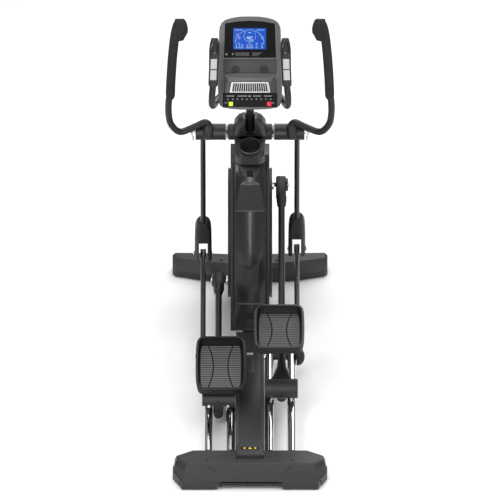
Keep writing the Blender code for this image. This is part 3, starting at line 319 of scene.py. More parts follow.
def smooth_path(points, steps=6):
    """A path through the points, rounded between them."""
    pts = [Vector(p) for p in points]
    out = []
    steps *= 4
    for i in range(len(pts) - 1):
        p0 = pts[max(i - 1, 0)]
        p1, p2 = pts[i], pts[i + 1]
        p3 = pts[min(i + 2, len(pts) - 1)]
        for k in range(steps):
            t = k / steps
            out.append(0.5 * ((2 * p1) + (p2 - p0) * t + (2 * p0 - 5 * p1 + 4 * p2 - p3) * t * t + (3 * p1 - p0 - 3 * p2 + p3) * t**3))
    return out + [pts[-1]]


def sweep(name, path, profile, look=None, side=(1, 0, 0), scales=None):
    """A profile carried along a path, with flat ends. `side` starts the profile's first axis."""
    reach = [math.hypot(*p) for p in profile]
    if max(reach) - min(reach) < 1e-9:
        return bar_along(name, path, reach[0], look, len(profile), scales)
    pts = [Vector(p) for p in path]
    axis = Vector(side)
    rings = []
    for i, p in enumerate(pts):
        a = pts[max(i - 1, 0)]
        b = pts[min(i + 1, len(pts) - 1)]
        along = (b - a).normalized()
        axis = (axis - along * axis.dot(along)).normalized()
        other = along.cross(axis)
        s = scales[i] if scales else 1
        rings.append([p + axis * u * s + other * w * s for u, w in profile])
    return ring_loft(name, rings, look)


def plate_x(name, outline, x0, x1, look=None):
    """A flat outline of (forward, up) carried along X."""
    curve = bpy.data.curves.new(name, "CURVE")
    curve.dimensions = "2D"
    curve.fill_mode = "BOTH"
    curve.extrude = abs(x1 - x0) / 2
    line = curve.splines.new("POLY")
    line.points.add(len(outline) - 1)
    for point, (y, z) in zip(line.points, outline):
        point.co = (y, z, 0, 1)
    line.use_cyclic_u = True
    return from_curve(name, curve, look, Matrix(((0, 0, 1, (x0 + x1) / 2), (1, 0, 0, 0), (0, 1, 0, 0), (0, 0, 0, 1))))


def mirrored(obj, name, look=None):
    """A left copy of a right piece."""
    mesh = obj.data.copy()
    mesh.transform(Matrix.Scale(-1, 4, (1, 0, 0)))
    mesh.flip_normals()
    return adopt(name, mesh=mesh)


def block(name, matrix, x, u, w, look=None, round_by=0, segments=2):
    """A box between limits along the three axes of `matrix`."""
    bm = bmesh.new()
    size = Matrix.Diagonal((x[1] - x[0], u[1] - u[0], w[1] - w[0], 1))
    bmesh.ops.create_cube(bm, size=1, matrix=matrix @ Matrix.Translation(((x[0] + x[1]) / 2, (u[0] + u[1]) / 2, (w[0] + w[1]) / 2)) @ size)
    obj = made(name, bm, look)
    return bevel(obj, round_by, segments) if round_by else obj


class Frame:
    """A side-view frame: `along` and `up` from an origin, at an angle."""

    def __init__(self, origin, angle):
        self.o = origin
        self.c, self.s = math.cos(angle), math.sin(angle)
        self.matrix = Matrix.Translation((0, origin[0], origin[1])) @ Matrix.Rotation(angle, 4, "X")

    def at(self, x, u, w):
        return (x, self.o[0] + u * self.c - w * self.s, self.o[1] + u * self.s + w * self.c)

    def box(self, name, x0, x1, u0, u1, w0, w1, look=None, round_by=0, segments=2):
        return block(name, self.matrix, (x0, x1), (u0, u1), (w0, w1), look, round_by, segments)


# ---------------------------------------------------------------- linkage, solved for the rest pose
def solve(degrees):
    a = math.radians(degrees)
    pin = (CRANK[0] + CRANK_R * math.cos(a), CRANK[1] + CRANK_R * math.sin(a))
    dz = pin[1] - AXLE_Z
    axle = (pin[0] - math.sqrt(ARM_L**2 - dz**2), AXLE_Z)
    beta = math.atan2(dz, pin[0] - axle[0])
    c, s = math.cos(beta), math.sin(beta)
    foot = (axle[0] + PIVOT_U * c - PIVOT_W * s, axle[1] + PIVOT_U * s + PIVOT_W * c)
    dy, dz = PIVOT[0] - foot[0], PIVOT[1] - foot[1]
    d = math.hypot(dy, dz)
    x = (LINK_L**2 - SWING_L**2 + d * d) / (2 * d)
    h = math.sqrt(LINK_L**2 - x * x)
    fork = (foot[0] + x * dy / d + h * dz / d, foot[1] + x * dz / d - h * dy / d)
    theta = math.atan2(fork[1] - foot[1], fork[0] - foot[0])
    phi = math.atan2(fork[0] - PIVOT[0], PIVOT[1] - fork[1])
    return {"pin": pin, "axle": axle, "beta": beta, "foot": foot, "fork": fork, "theta": theta, "phi": phi}


POSE = {"right": solve(CRANK_DEG), "left": solve(CRANK_DEG + 180)}

# ---------------------------------------------------------------- fixed frame
def front_pad(x):
    """A levelling pad under the front cross tube."""
    return ring_loft("t", [[(x + p, 1.910 + q, h) for p, q in circle(14, r)] for h, r in ((0, 0.020), (0.012, 0.021), (0.0135, 0.008), (0.040, 0.008))])


beam = box("main_frame", -0.035, 0.035, 0.165, 1.925, 0.050, 0.110, PAINT, 0.004, 1)
weld(
    beam,
    [
        box("t", -0.034, 0.034, 0.080, 0.250, 0.034, 0.0770),
        box("t", -0.2960, 0.2960, 0.055, 0.115, 0.030, 0.070),
        box("t", -0.20, 0.20, 1.886, 1.926, 0.030, 0.062),
        box("t", 0.18, 0.302, 1.913, 1.929, 0.032, 0.046),
        box("t", -0.302, -0.18, 1.913, 1.929, 0.032, 0.046),
        front_pad(0.205),
        front_pad(-0.205),
        box("t", -0.024, 0.024, 1.642, 1.690, 0.100, 0.365),
        rod_x("t", -0.040, 0.040, CRANK[0], CRANK[1], 0.028),
        box("t", 0.0215, 0.040, 1.518, 1.680, 0.226, 0.246),
        rod_x("t", 0.038, 0.062, 1.530, 0.2355, 0.004, count=12),
        box("t", -0.034, -0.026, 1.395, 1.445, 0.100, 0.325),
        rod_x("t", -0.030, 0.064, 1.420, 0.300, 0.0075, count=16),
        box("t", 0.238, 0.244, 1.922, 1.972, 0.034, 0.058),
        box("t", 0.296, 0.302, 1.922, 1.972, 0.034, 0.058),
        rod_x("t", 0.241, 0.299, 1.962, 0.046, 0.004, count=12),
        box("t", -0.244, -0.238, 1.922, 1.972, 0.034, 0.058),
        box("t", -0.302, -0.296, 1.922, 1.972, 0.034, 0.058),
        rod_x("t", -0.299, -0.241, 1.962, 0.046, 0.004, count=12),
    ],
)
cut(beam, rod_x("t", -0.05, 0.05, CRANK[0], CRANK[1], 0.0176))

# spine cover: an upturned trough over the beam
cover = box("spine_cover", -0.0635, 0.0635, 0.1203, 1.2150, 0.020, 0.118, CHAR, 0.010, 2)
cut(
    cover,
    [
        box("t", -0.0600, 0.0600, 0.1240, 1.230, 0.010, 0.1145),
        box("t", -0.0400, 0.0400, 0.1000, 0.130, 0.010, 0.0790),
        rod_x("t", -0.08, 0.08, 1.052, RAIL_Z, 0.0146, count=20),
    ],
)


# stabiliser covers
def wing(x, y0, y1, z0, z1, r):
    cy, cz = (y0 + y1) / 2, (z0 + z1) / 2
    return [(x, cy + p, cz + q) for p, q in rounded(y1 - y0, z1 - z0, r)]


def tier(z, half, y0, y1, rear, front):
    """A level outline with its corners cut off: `rear` and `front` are how far each cut goes across and along."""
    rx, ry = rear
    fx, fy = front
    return [(-half + rx, y0, z), (half - rx, y0, z), (half, y0 + ry, z), (half, y1 - fy, z), (half - fx, y1, z), (-half + fx, y1, z), (-half, y1 - fy, z), (-half, y0 + ry, z)]


rear = ring_loft(
    "rear_stabilizer_cover",
    [
        tier(0.006, 0.346, 0.000, 0.190, (0.040, 0.090), (0.080, 0.050)),
        tier(0.044, 0.346, 0.000, 0.190, (0.040, 0.090), (0.080, 0.050)),
        tier(0.047, 0.341, 0.004, 0.190, (0.040, 0.085), (0.076, 0.048)),
        tier(0.080, 0.337, 0.035, 0.190, (0.042, 0.062), (0.076, 0.048)),
        tier(0.097, 0.328, 0.064, 0.188, (0.042, 0.046), (0.072, 0.046)),
        tier(0.100, 0.318, 0.074, 0.182, (0.040, 0.040), (0.068, 0.042)),
    ],
    CHAR,
)
cut(
    rear,
    [
        box("t", -0.318, 0.318, 0.014, 0.150, -0.01, 0.040),
        box("t", -0.300, 0.300, 0.050, 0.180, -0.01, 0.078),
        box("t", -0.0638, 0.0638, 0.1200, 0.210, -0.01, 0.2000),
        box("t", -0.146, 0.146, -0.01, 0.030, -0.01, 0.0440),
    ],
)
bar = rod_x("rear_lift_bar", -0.1315, 0.1315, 0.0125, 0.028, 0.0085, BLACK, 16)
weld(bar, [box("t", -0.140, -0.128, 0.004, 0.0547, 0.018, 0.040), box("t", 0.128, 0.140, 0.004, 0.0547, 0.018, 0.040)])

def shin(x, y0, y1, top=0.084):
    """A section of the front cover: upright foot, sloping face, level top."""
    return [(x, y0, 0.006), (x, y0, top - 0.046), (x, y0 + 0.018, top - 0.016), (x, y0 + 0.040, top), (x, y1 - 0.012, top), (x, y1, top - 0.014), (x, y1, 0.006)]


def shin_hollow(x, y0, y1, top=0.084):
    return [(x, y0 + 0.012, -0.02), (x, y0 + 0.012, top - 0.036), (x, y0 + 0.021, top - 0.0200), (x, y0 + 0.032, top - 0.010), (x, y1 - 0.010, top - 0.010), (x, y1 - 0.010, -0.02)]


FRONT_RUN = [(0.353, 1.922, 1.990, 0.074), (0.340, 1.903, 2.000, 0.081), (0.220, 1.866, 1.992, 0.084), (0.110, 1.850, 1.984, 0.084), (0.000, 1.844, 1.980, 0.084)]
FRONT_RUN += [(-x, a, b, c) for x, a, b, c in FRONT_RUN[-2::-1]]
front = ring_loft("front_stabilizer_cover", [shin(*p) for p in FRONT_RUN[::-1]], CHAR)
hollow = ring_loft("t", [shin_hollow(x * 0.94, a, b, c) for x, a, b, c in FRONT_RUN[-2:0:-1]])
cut(
    front,
    [
        hollow,
        box("t", -0.0356, 0.0356, 1.840, 1.9256, -0.01, 0.1110),
        box("t", 0.2500, 0.2900, 1.924, 2.02, -0.01, 0.0800),
        box("t", -0.2900, -0.2500, 1.924, 2.02, -0.01, 0.0800),
    ],
)

for side, sign in (("right", 1), ("left", -1)):
    wheel = lathe_x(
        "transport_wheel_" + side,
        [(-0.017, 0.0044), (-0.017, 0.025), (-0.013, 0.029), (0.013, 0.029), (0.017, 0.025), (0.017, 0.0044)],
        1.962,
        0.046,
        RUBBER,
        28,
    )
    wheel.data.transform(Matrix.Translation((0.270 * sign, 0, 0)))
    set_origin(wheel, (0.270 * sign, 1.962, 0.046))

for side, sign in (("right", 1), ("left", -1)):
    ring_loft("rear_foot_" + side, [[(sign * 0.285 + p, 0.085 + q, h) for p, q in circle(14, r)] for h, r in ((0, 0.020), (0.012, 0.021), (0.0135, 0.008), (0.0297, 0.008))], RUBBER)

# rails: two tubes a side, tied by a cross tube with a domed end
for side, sign in (("right", 1), ("left", -1)):
    rails = bar_along("rails_" + side, [(sign * RAIL_IN, 0.1905, RAIL_Z), (sign * RAIL_IN, 1.0450, RAIL_Z)], RAIL_R, CHROME, sides(20))
    tubes = [bar_along("t", [(sign * RAIL_OUT, 0.1905, RAIL_Z), (sign * RAIL_OUT, 1.0450, RAIL_Z)], RAIL_R, None, sides(20))]
    tubes.append(rod_x("t", sign * 0.0355, sign * 0.2130, 1.0520, RAIL_Z, 0.0140, count=16))
    dome = [(0.2110, 0.0385), (0.2125, 0.0400), (0.2200, 0.0395), (0.2300, 0.0360), (0.2390, 0.0280), (0.2450, 0.0150), (0.2465, 0.0040)]
    tubes.append(ring_loft("t", [[(sign * x, 1.052 + p, RAIL_Z + q) for p, q in circle(20, r)] for x, r in dome]))
    weld(rails, tubes)

# ---------------------------------------------------------------- drive housing
OUTER = [(1.222, 0.1155), (1.243, 0.220), (1.262, 0.330), (1.292, 0.480), (1.345, 0.670), (1.395, 0.820), (1.425, 0.870), (1.460, 0.8975), (1.560, 0.8975), (1.610, 0.870), (1.680, 0.790), (1.790, 0.690), (1.890, 0.560), (1.945, 0.420), (1.950, 0.300), (1.925, 0.180), (1.905, 0.1155)]


def inset(outline, by):
    """The outline moved inwards (it runs clockwise seen from +X with Y to the right)."""
    pts = [Vector(p) for p in outline]
    out = []
    for i, p in enumerate(pts):
        a = (p - pts[i - 1]).normalized()
        b = (pts[(i + 1) % len(pts)] - p).normalized()
        n1, n2 = Vector((a.y, -a.x)), Vector((b.y, -b.x))
        n = (n1 + n2).normalized()
        out.append(tuple(p + n * (by / max(0.4, n.dot(n1)))))
    return out


INNER = inset(OUTER, 0.004)
INNER = [(INNER[0][0], 0.08)] + INNER[1:-1] + [(INNER[-1][0], 0.08)]
shell = ring_loft("housing_right", [[(x, y, z) for y, z in OUTER] for x in (0.0002, HOUSING_X)], CHAR)
# round only the outer edge
modifier = shell.modifiers.new("edge", "BEVEL")
modifier.width = 0.003
modifier.segments = 3
modifier.limit_method = "WEIGHT"
weights = shell.data.attributes.new("bevel_weight_edge", "FLOAT", "EDGE")
for edge in shell.data.edges:
    xs = [shell.data.vertices[v].co.x for v in edge.vertices]
    zs = [shell.data.vertices[v].co.z for v in edge.vertices]
    weights.data[edge.index].value = 1.0 if min(xs) > 0.05 and max(zs) > 0.12 else 0.0
evaluated(shell)
tidy(shell)
cut(
    shell,
    [
        plate_x("t", INNER, -0.01, HOUSING_X - 0.004),
        rod_x("t", 0.06, 0.12, CRANK[0], CRANK[1], 0.0180),
        sweep("t", [(0, 1.560, 0.55), (0, 1.4750, 1.18)], circle(24, 0.0215)),
    ],
)
mirrored(shell, "housing_left")

panel_in = inset(OUTER, -0.0006)[1:6]


def crowned(x):
    """How far the rear panel stands out from the housing, at a place across it."""
    return -0.0045 - 0.0075 * (1 - (x / 0.062) ** 2)


panel = ring_loft("housing_rear_panel", [[(x, y, z) for y, z in inset(OUTER, crowned(x))[1:6] + panel_in[::-1]] for x in (-0.062, -0.052, -0.034, 0.0, 0.034, 0.052, 0.062)], BLACK)

# ---------------------------------------------------------------- mast
MAST_LOW = (1.6205, 0.1105)
MAST_TOP = (1.2595, 1.4180)
MAST_R = 0.0187


def mast_path(extra=0.0):
    low, mid, top = Vector((0, *MAST_LOW)), Vector((0, *PIVOT)), Vector((0, *MAST_TOP))
    a = (mid - low).normalized()
    b = (top - mid).normalized()
    return [low - a * extra, mid - a * 0.09, mid - a * 0.045 + b * 0.002, mid + b * 0.0 - (a - b) * 0.008, mid + b * 0.045 - a * 0.002, mid + b * 0.09, top + b * extra]


mast = sweep("mast_tube", mast_path(), circle(20, MAST_R), PAINT)
cut(mast, box("t", -0.05, 0.05, 1.5, 1.75, 0.05, MAST_LOW[1] + 0.003))
weld(mast, rod_x("t", -0.1010, 0.1010, PIVOT[0], PIVOT[1], 0.0240, count=20))
weld(mast, box("t", -0.030, 0.030, 1.590, 1.638, 0.1105, 0.118))
cut(mast, rod_x("t", -0.12, 0.12, PIVOT[0], PIVOT[1], 0.0106, count=16))


def plan(half, y0, y1, z, r):
    return [(p, (y0 + y1) / 2 + q, z) for p, q in rounded(2 * half, y1 - y0, r, 2)]


def tilted(half, y, z, deep, r, lean=0.0):
    """A ring round the upper mast, level across and leaning with it."""
    return [(p, y + q * math.cos(lean), z - q * math.sin(lean)) for p, q in rounded(2 * half, deep, r, 4)]


boot = ring_loft(
    "mast_cover",
    [
        plan(0.0665, 1.372, 1.590, 0.8985, 0.035),
        plan(0.0655, 1.332, 1.585, 0.9190, 0.035),
        plan(0.0650, 1.318, 1.565, 0.9600, 0.035),
        plan(0.0660, 1.345, 1.550, 0.9780, 0.035),
        plan(0.0743, 1.440, 1.545, 0.9950, 0.030),
        plan(0.0743, 1.425, 1.535, 1.0250, 0.030),
        plan(0.0700, 1.400, 1.510, 1.0700, 0.030),
        plan(0.0560, 1.385, 1.480, 1.1050, 0.030),
        plan(0.0340, 1.380, 1.460, 1.1250, 0.026),
    ],
    CHAR,
)
cut(
    boot,
    [
        ring_loft("t", [plan(0.0600, 1.388, 1.582, 0.88, 0.03), plan(0.0600, 1.350, 1.575, 0.921, 0.03), plan(0.0600, 1.340, 1.556, 0.955, 0.03), plan(0.0600, 1.440, 1.540, 0.965, 0.03), plan(0.0640, 1.434, 1.536, 0.995, 0.026), plan(0.0640, 1.430, 1.528, 1.025, 0.026), plan(0.0600, 1.406, 1.504, 1.066, 0.026)]),
        sweep("t", mast_path(), circle(20, MAST_R + 0.0014)),
        rod_x("t", -0.12, 0.12, PIVOT[0], PIVOT[1], 0.0253, count=20),
        box("t", -0.0212, 0.0212, 1.330, 1.4810, 1.0139, 1.16),
    ],
)
CUP = Frame((1.3745, 0.9870), math.radians(14))  # rim centre; up is the cup's axis


def cup_ring(radius, up, count=24):
    return [CUP.at(p, q, up) for p, q in circle(count, radius)]


cut(boot, ring_loft("t", [cup_ring(0.0488, -0.060), cup_ring(0.0488, 0.05)]))
cup = ring_loft("bottle_holder", [cup_ring(0.0440, -0.0560), cup_ring(0.0480, -0.046), cup_ring(0.0480, -0.006), cup_ring(0.0525, 0.000), cup_ring(0.0525, 0.006), cup_ring(0.0500, 0.008)], CHAR)
cut(cup, ring_loft("t", [cup_ring(0.0405, -0.0510), cup_ring(0.0445, -0.044), cup_ring(0.0460, 0.02)]))
cut(boot, ring_loft("t", [cup_ring(0.0528, -0.0060), cup_ring(0.0528, 0.06)]))

# bosses beside the mast cover, over the pivot tube
for sign in (1, -1):
    weld(boot, lathe_x("t", [(sign * 0.0640, 0.0253), (sign * 0.0640, 0.0370), (sign * 0.0950, 0.0370), (sign * 0.1000, 0.0330), (sign * 0.1000, 0.0253)], PIVOT[0], PIVOT[1], count=20))

# ---------------------------------------------------------------- crank, belt and flywheel
axis = (0.0, CRANK[0], CRANK[1])
crank = rod_x("crank_set", -0.0960, 0.0960, CRANK[0], CRANK[1], 0.0160, STEEL)
for side, sign in (("right", 1), ("left", -1)):
    pin = POSE[side]["pin"]
    lever = Frame(CRANK, math.atan2(pin[1] - CRANK[1], pin[0] - CRANK[0]))
    x0, x1 = sorted((sign * 0.0905, sign * 0.0982))
    flat = lever.box("t", x0, x1, -0.034, CRANK_R + 0.024, -0.024, 0.024)
    weld(crank, [bevel(flat, 0.004, 1), rod_x("t", sign * 0.0940, sign * 0.1080, pin[0], pin[1], 0.0230, count=20)])
set_origin(crank, axis)

for side, sign in (("right", 1), ("left", -1)):
    pin = POSE[side]["pin"]
    disc = ring_loft("crank_disc_" + side, [[(sign * x, CRANK[0] + p, CRANK[1] + q) for p, q in circle(40, r)] for x, r in ((0.0900, 0.2945), (0.0985, DISC_R), (0.1006, 0.2915))], CHAR)
    cut(disc, [rod_x("t", sign * 0.080, sign * 0.0985, CRANK[0], CRANK[1], 0.2890, count=40), rod_x("t", sign * 0.09, sign * 0.12, pin[0], pin[1], 0.0234, count=20)])
    set_origin(disc, axis)

pulley = lathe_x(
    "crank_pulley",
    [(0.0440, 0.0163), (0.0440, 0.028), (0.0500, 0.030), (0.0500, 0.110), (0.0450, 0.114), (0.0450, 0.1300), (0.0600, 0.1300), (0.0600, 0.114), (0.0550, 0.110), (0.0550, 0.030), (0.0610, 0.028), (0.0610, 0.0163)],
    *CRANK,
    BLACK,
    24,
)
set_origin(pulley, axis)

FLY = (1.420, 0.300)
flywheel = lathe_x(
    "flywheel",
    [(-0.0180, 0.0080), (-0.0180, 0.020), (-0.004, 0.022), (-0.004, 0.072), (-0.014, 0.074), (-0.014, 0.1050), (0.024, 0.1050), (0.024, 0.074), (0.014, 0.072), (0.014, 0.022), (0.0440, 0.020), (0.0465, 0.0280), (0.0600, 0.0280), (0.0620, 0.0080)],
    *FLY,
    IRON,
    24,
)
set_origin(flywheel, (0, *FLY))
idler = lathe_x("tension_idler", [(0.0450, 0.0043), (0.0450, 0.0180), (0.0600, 0.0180), (0.0600, 0.0043)], 1.530, 0.2355, BLACK, 24)
set_origin(idler, (0, 1.530, 0.2355))


def belt_loop(extra):
    """Round the two pulleys, with `extra` added to each radius."""
    a, b = Vector(CRANK), Vector(FLY)
    ra, rb = 0.1300 + extra, 0.0280 + extra
    d = b - a
    base = math.atan2(d.y, d.x)
    open_by = math.acos((ra - rb) / d.length)
    pts = []
    for k in range(19):
        t = base + open_by + (TAU - 2 * open_by) * k / 18
        pts.append((a.x + ra * math.cos(t), a.y + ra * math.sin(t)))
    for k in range(9):
        t = base - open_by + 2 * open_by * k / 8
        pts.append((b.x + rb * math.cos(t), b.y + rb * math.sin(t)))
    return pts


outer, inner = belt_loop(0.0032), belt_loop(0.0014)
ring_loft(
    "drive_belt",
    [[(0.0470, y, z) for y, z in inner], [(0.0470, y, z) for y, z in outer], [(0.0580, y, z) for y, z in outer], [(0.0580, y, z) for y, z in inner]],
    RUBBER,
    closed=True,
)

# ---------------------------------------------------------------- pivot shaft
shaft = rod_x("pivot_shaft", -0.2560, 0.2560, PIVOT[0], PIVOT[1], 0.0098, STEEL, 16)
for sign in (1, -1):
    weld(shaft, ring_loft("t", [[(sign * x, PIVOT[0] + p, PIVOT[1] + q) for p, q in circle(24, r)] for x, r in ((0.2530, 0.0395), (0.2580, 0.0395), (0.2605, 0.0360))]))

# ---------------------------------------------------------------- one side of the linkage
HANDLE = [(0.1865, 1.4850, 1.0350), (0.2070, 1.4800, 1.0400), (0.2568, 1.4520, 1.0435), (0.3170, 1.4200, 1.0397), (0.3560, 1.3950, 1.0930), (0.3670, 1.3800, 1.1590), (0.3655, 1.3720, 1.2313), (0.3590, 1.3690, 1.2480)]
GRIP = [(0.3590, 1.3690, 1.2480), (0.3570, 1.3640, 1.3200), (0.3530, 1.3560, 1.4000), (0.3470, 1.3450, 1.4900), (0.3370, 1.3320, 1.5900), (0.3230, 1.3150, 1.6650)]

for side, sign in (("right", 1), ("left", -1)):
    pose = POSE[side]
    axle, foot, fork, pin = pose["axle"], pose["foot"], pose["fork"], pose["pin"]

    # pedal arm: u along it from the roller axle, w above it
    arm = Frame(axle, pose["beta"])

    def X(x):
        return sign * x

    def section(u, width, height, r, w=0.0, steps=3):
        return [arm.at(X(ARM_X) + p, u, w + q) for p, q in rounded(width, height, r, steps)]

    body = ring_loft("pedal_arm_" + side, [[arm.at(X(ARM_X) + p, u, q) for p, q in circle(16, 0.0150)] for u in (0.120, ARM_L - 0.0683)], PAINT)
    weld(
        body,
        [
            ring_loft("t", [section(0.030, 0.100, 0.056, 0.012), section(0.070, 0.072, 0.052, 0.016), section(0.110, 0.044, 0.042, 0.018), section(0.165, 0.034, 0.034, 0.0165)]),
            arm.box("t", *sorted((X(0.1250), X(0.1590))), PIVOT_U - 0.021, PIVOT_U + 0.021, 0.0, PIVOT_W),
            rod_x("t", X(0.1250), X(0.1590), foot[0], foot[1], 0.0210),
        ],
    )
    cut(body, [rod_x("t", X(0.05), X(0.24), axle[0], axle[1], 0.0458, count=28), rod_x("t", X(0.10), X(0.18), foot[0], foot[1], 0.0085, count=20)])
    set_origin(body, (X(ARM_X), *axle))

    # crank head: the bearing block on the crank pin
    head = arm.box("crank_head_" + side, *sorted((X(0.1172), X(0.1640))), ARM_L - 0.0680, ARM_L + 0.0335, -0.0270, 0.0270, CHAR, 0.009, 2)
    weld(head, [rod_x("t", X(0.1086), X(0.1200), pin[0], pin[1], 0.0100, count=20), ring_loft("t", [[(X(x), pin[0] + p, pin[1] + q) for p, q in circle(20, r)] for x, r in ((0.1600, 0.0290), (0.1700, 0.0290), (0.1725, 0.0260))])])
    set_origin(head, (X(ARM_X), *pin))

    # carriage shell round the roller axle, cut away over the rails
    cart = rod_x("carriage_" + side, X(0.0676), X(0.2153), axle[0], axle[1], 0.0450, CHAR, 28)
    tab = ring_loft("t", [[arm.at(X(ARM_X) + p, u, w) for p, u in rounded(wide, 0.022, 0.008)] for w, wide in ((-0.0930, 0.020), (-0.0860, 0.038), (-0.0700, 0.046), (-0.0350, 0.046))])
    weld(cart, tab)
    cut(
        cart,
        [
            rod_x("t", X(0.0716), X(0.1180), axle[0], axle[1], 0.0410, count=24),
            rod_x("t", X(0.1660), X(0.2113), axle[0], axle[1], 0.0410, count=24),
            arm.box("t", *sorted((X(0.0600), X(0.1185))), -0.06, 0.06, -0.0700, -0.0100),
            arm.box("t", *sorted((X(0.1655), X(0.2250))), -0.06, 0.06, -0.0700, -0.0100),
            rod_x("t", X(0.0650), X(0.2180), axle[0], axle[1], 0.0064, count=16),
            rod_x("t", X(0.1150), X(0.1690), axle[0], axle[1], 0.0100, count=24),
        ],
    )
    set_origin(cart, (X(ARM_X), *axle))
    shaft = rod_x("roller_axle_" + side, X(0.0680), X(0.2149), axle[0], axle[1], 0.0060, STEEL, 16)
    set_origin(shaft, (X(ARM_X), *axle))
    tyre = [(-0.0145, 0.0375), (-0.0110, 0.0375), (-0.0050, 0.0344), (0.0050, 0.0344), (0.0110, 0.0375), (0.0145, 0.0375)]
    profile = [(X(RAIL_IN - 0.0145), 0.0063)] + [(X(RAIL_IN + x), r) for x, r in tyre] + [(X(RAIL_IN + 0.0145), 0.0092), (X(RAIL_OUT - 0.0145), 0.0092)] + [(X(RAIL_OUT + x), r) for x, r in tyre] + [(X(RAIL_OUT + 0.0145), 0.0063)]
    wheels = lathe_x("rollers_" + side, profile, axle[0], axle[1], GREY, 20)
    set_origin(wheels, (X(ARM_X), *axle))

    # foot link: from the foot pivot forward to the fork
    link = Frame(foot, pose["theta"])
    rod = ring_loft("foot_link_" + side, [[link.at(X(LINK_X) + p, u, q) for p, q in rounded(0.024, 0.034, 0.0115, 2)] for u in (-0.150, LINK_L - 0.010)], PAINT)
    tray = Frame(link.at(0, -PEDAL_A, PEDAL_B)[1:], pose["theta"] + PEDAL_T)
    weld(
        rod,
        [
            rod_x("t", X(0.1605), X(0.2126), foot[0], foot[1], 0.0150, count=24),
            rod_x("t", X(0.1180), X(0.1640), foot[0], foot[1], 0.0080, count=20),
            rod_x("t", X(0.1140), X(0.1232), foot[0], foot[1], 0.0140, count=20),
            rod_x("t", X(LINK_X - 0.0130), X(LINK_X + 0.0130), fork[0], fork[1], 0.0190, count=24),
            tray.box("t", *sorted((X(0.040), X(0.2246))), -0.110, 0.110, -0.0460, -0.0395),
            tray.box("t", *sorted((X(0.150), X(0.2246))), 0.020, 0.105, -0.0640, -0.0400),
        ],
    )
    set_origin(rod, (X(ARM_X), *foot))

    # pedal tray
    def tray_ring(n, grow, front=0.0, power=9):
        out = []
        for p, q in superellipse(0.2265 + 2 * grow, 0.376 + 2 * grow, power, 28):
            bulge = 1 - 0.035 * (q / 0.188) ** 2
            lift = front * max(0.0, (q - 0.02) / 0.17) ** 1.6
            out.append(tray.at(X(PEDAL_X) + p * bulge, q, n + lift))
        return out

    pedal = ring_loft("pedal_" + side, [tray_ring(-0.0380, -0.0120), tray_ring(-0.0340, -0.0040, 0.004), tray_ring(-0.0040, 0.0, 0.024), tray_ring(0.0, -0.0030, 0.026)], CHAR)
    cut(pedal, ring_loft("t", [tray_ring(-0.0240, -0.0180, 0.0), tray_ring(-0.0180, -0.0140, 0.002), tray_ring(0.0300, -0.0080, 0.040)]))
    tread = ring_loft("t", [tray_ring(-0.0270, -0.0220, 0.0), tray_ring(-0.0140, -0.0220, 0.002), tray_ring(-0.0130, -0.0240, 0.002)])
    weld(pedal, tread)
    set_origin(pedal, tray.at(X(PEDAL_X), 0, 0))

    # swing arm: t down from the mast pivot
    swing = Frame(PIVOT, pose["phi"] - math.pi / 2)
    swinger = ring_loft("swing_arm_" + side, [[swing.at(X(LINK_X) + p, u, q) for p, q in rounded(0.024, 0.044, 0.0115, 2)] for u in (0.010, 0.752)], PAINT)
    weld(swinger, rod_x("t", X(0.1085), X(0.2460), PIVOT[0], PIVOT[1], 0.0372, count=24))
    handle_low = [Vector((X(x), y, z)) for x, y, z in HANDLE]
    # socket for the handlebar on the sleeve
    weld(swinger, sweep("t", [(X(0.1865), 1.4905, 1.0150), (X(0.1865), 1.4850, 1.0345)], circle(24, 0.0200), side=(1, 0, 0)))
    cut(swinger, rod_x("t", X(0.09), X(0.26), PIVOT[0], PIVOT[1], 0.0106, count=16))
    set_origin(swinger, (X(LINK_X), *PIVOT))

    def across(point):
        return (X(point[0]), point[1], point[2])

    bend = [Vector((0.1865, 1.48480, 1.03520)), Vector((0.1865, 1.48400, 1.03800))] + smooth_path([(0.1880, 1.4825, 1.0440), (0.2070, 1.4780, 1.0545)] + HANDLE[2:], 2)
    grip_line = smooth_path(GRIP, 2)
    inside = grip_line[4:-12]
    tube = sweep("handlebar_" + side, [across(p) for p in bend + inside], circle(12, 0.0155), PAINT, side=(0, 1, 0))
    set_origin(tube, (X(LINK_X), *PIVOT))

    sizes = [0.88, 0.95, 0.985] + [1.0] * (len(grip_line) - 7) + [0.985, 0.95, 0.89, 0.78]
    grip = sweep("grip_" + side, [across(p) for p in grip_line], circle(14, 0.0212), FOAM, side=(0, 1, 0), scales=sizes)
    # the paddle at the top: flat above, full on the inner side, running back into the grip below
    PADDLE = [(0.62, 0.97), (-0.52, 0.99), (-0.72, 0.76), (-0.88, 0.25), (-0.97, -0.25), (-0.93, -0.70), (-0.42, -1.80), (0.28, -2.00), (0.60, -0.90), (0.68, 0.20)]
    lobe = []
    centre = Vector((0.3150, 1.3230, 1.6360))
    for k in range(19):
        t = -1 + 2 * k / 18
        reach = math.sqrt(max(0.0, 1 - (0.97 * t) ** 2))
        lobe.append([(X(centre.x + 0.038 * reach * p), centre.y + 0.026 * t * 0.96 - 0.010 * reach * q, centre.z + 0.041 * reach * q + 0.012 * t) for p, q in PADDLE])
    weld(grip, ring_loft("t", lobe))
    bore = [grip_line[0] - (grip_line[1] - grip_line[0]) * 2] + grip_line[:-12] + [grip_line[-12]]
    cut(grip, sweep("t", [across(p) for p in bore], circle(12, 0.0165), side=(0, 1, 0), scales=[1.15, 1.12, 1.08] + [1.0] * (len(bore) - 3)))
    set_origin(grip, (X(LINK_X), *PIVOT))

    # fork: a cover over the arm's end with two legs
    def fork_ring(t, half, deep):
        return [swing.at(X(LINK_X) + p, t, q) for p, q in rounded(2 * half, deep, min(half, deep / 2) * 0.5, 2)]

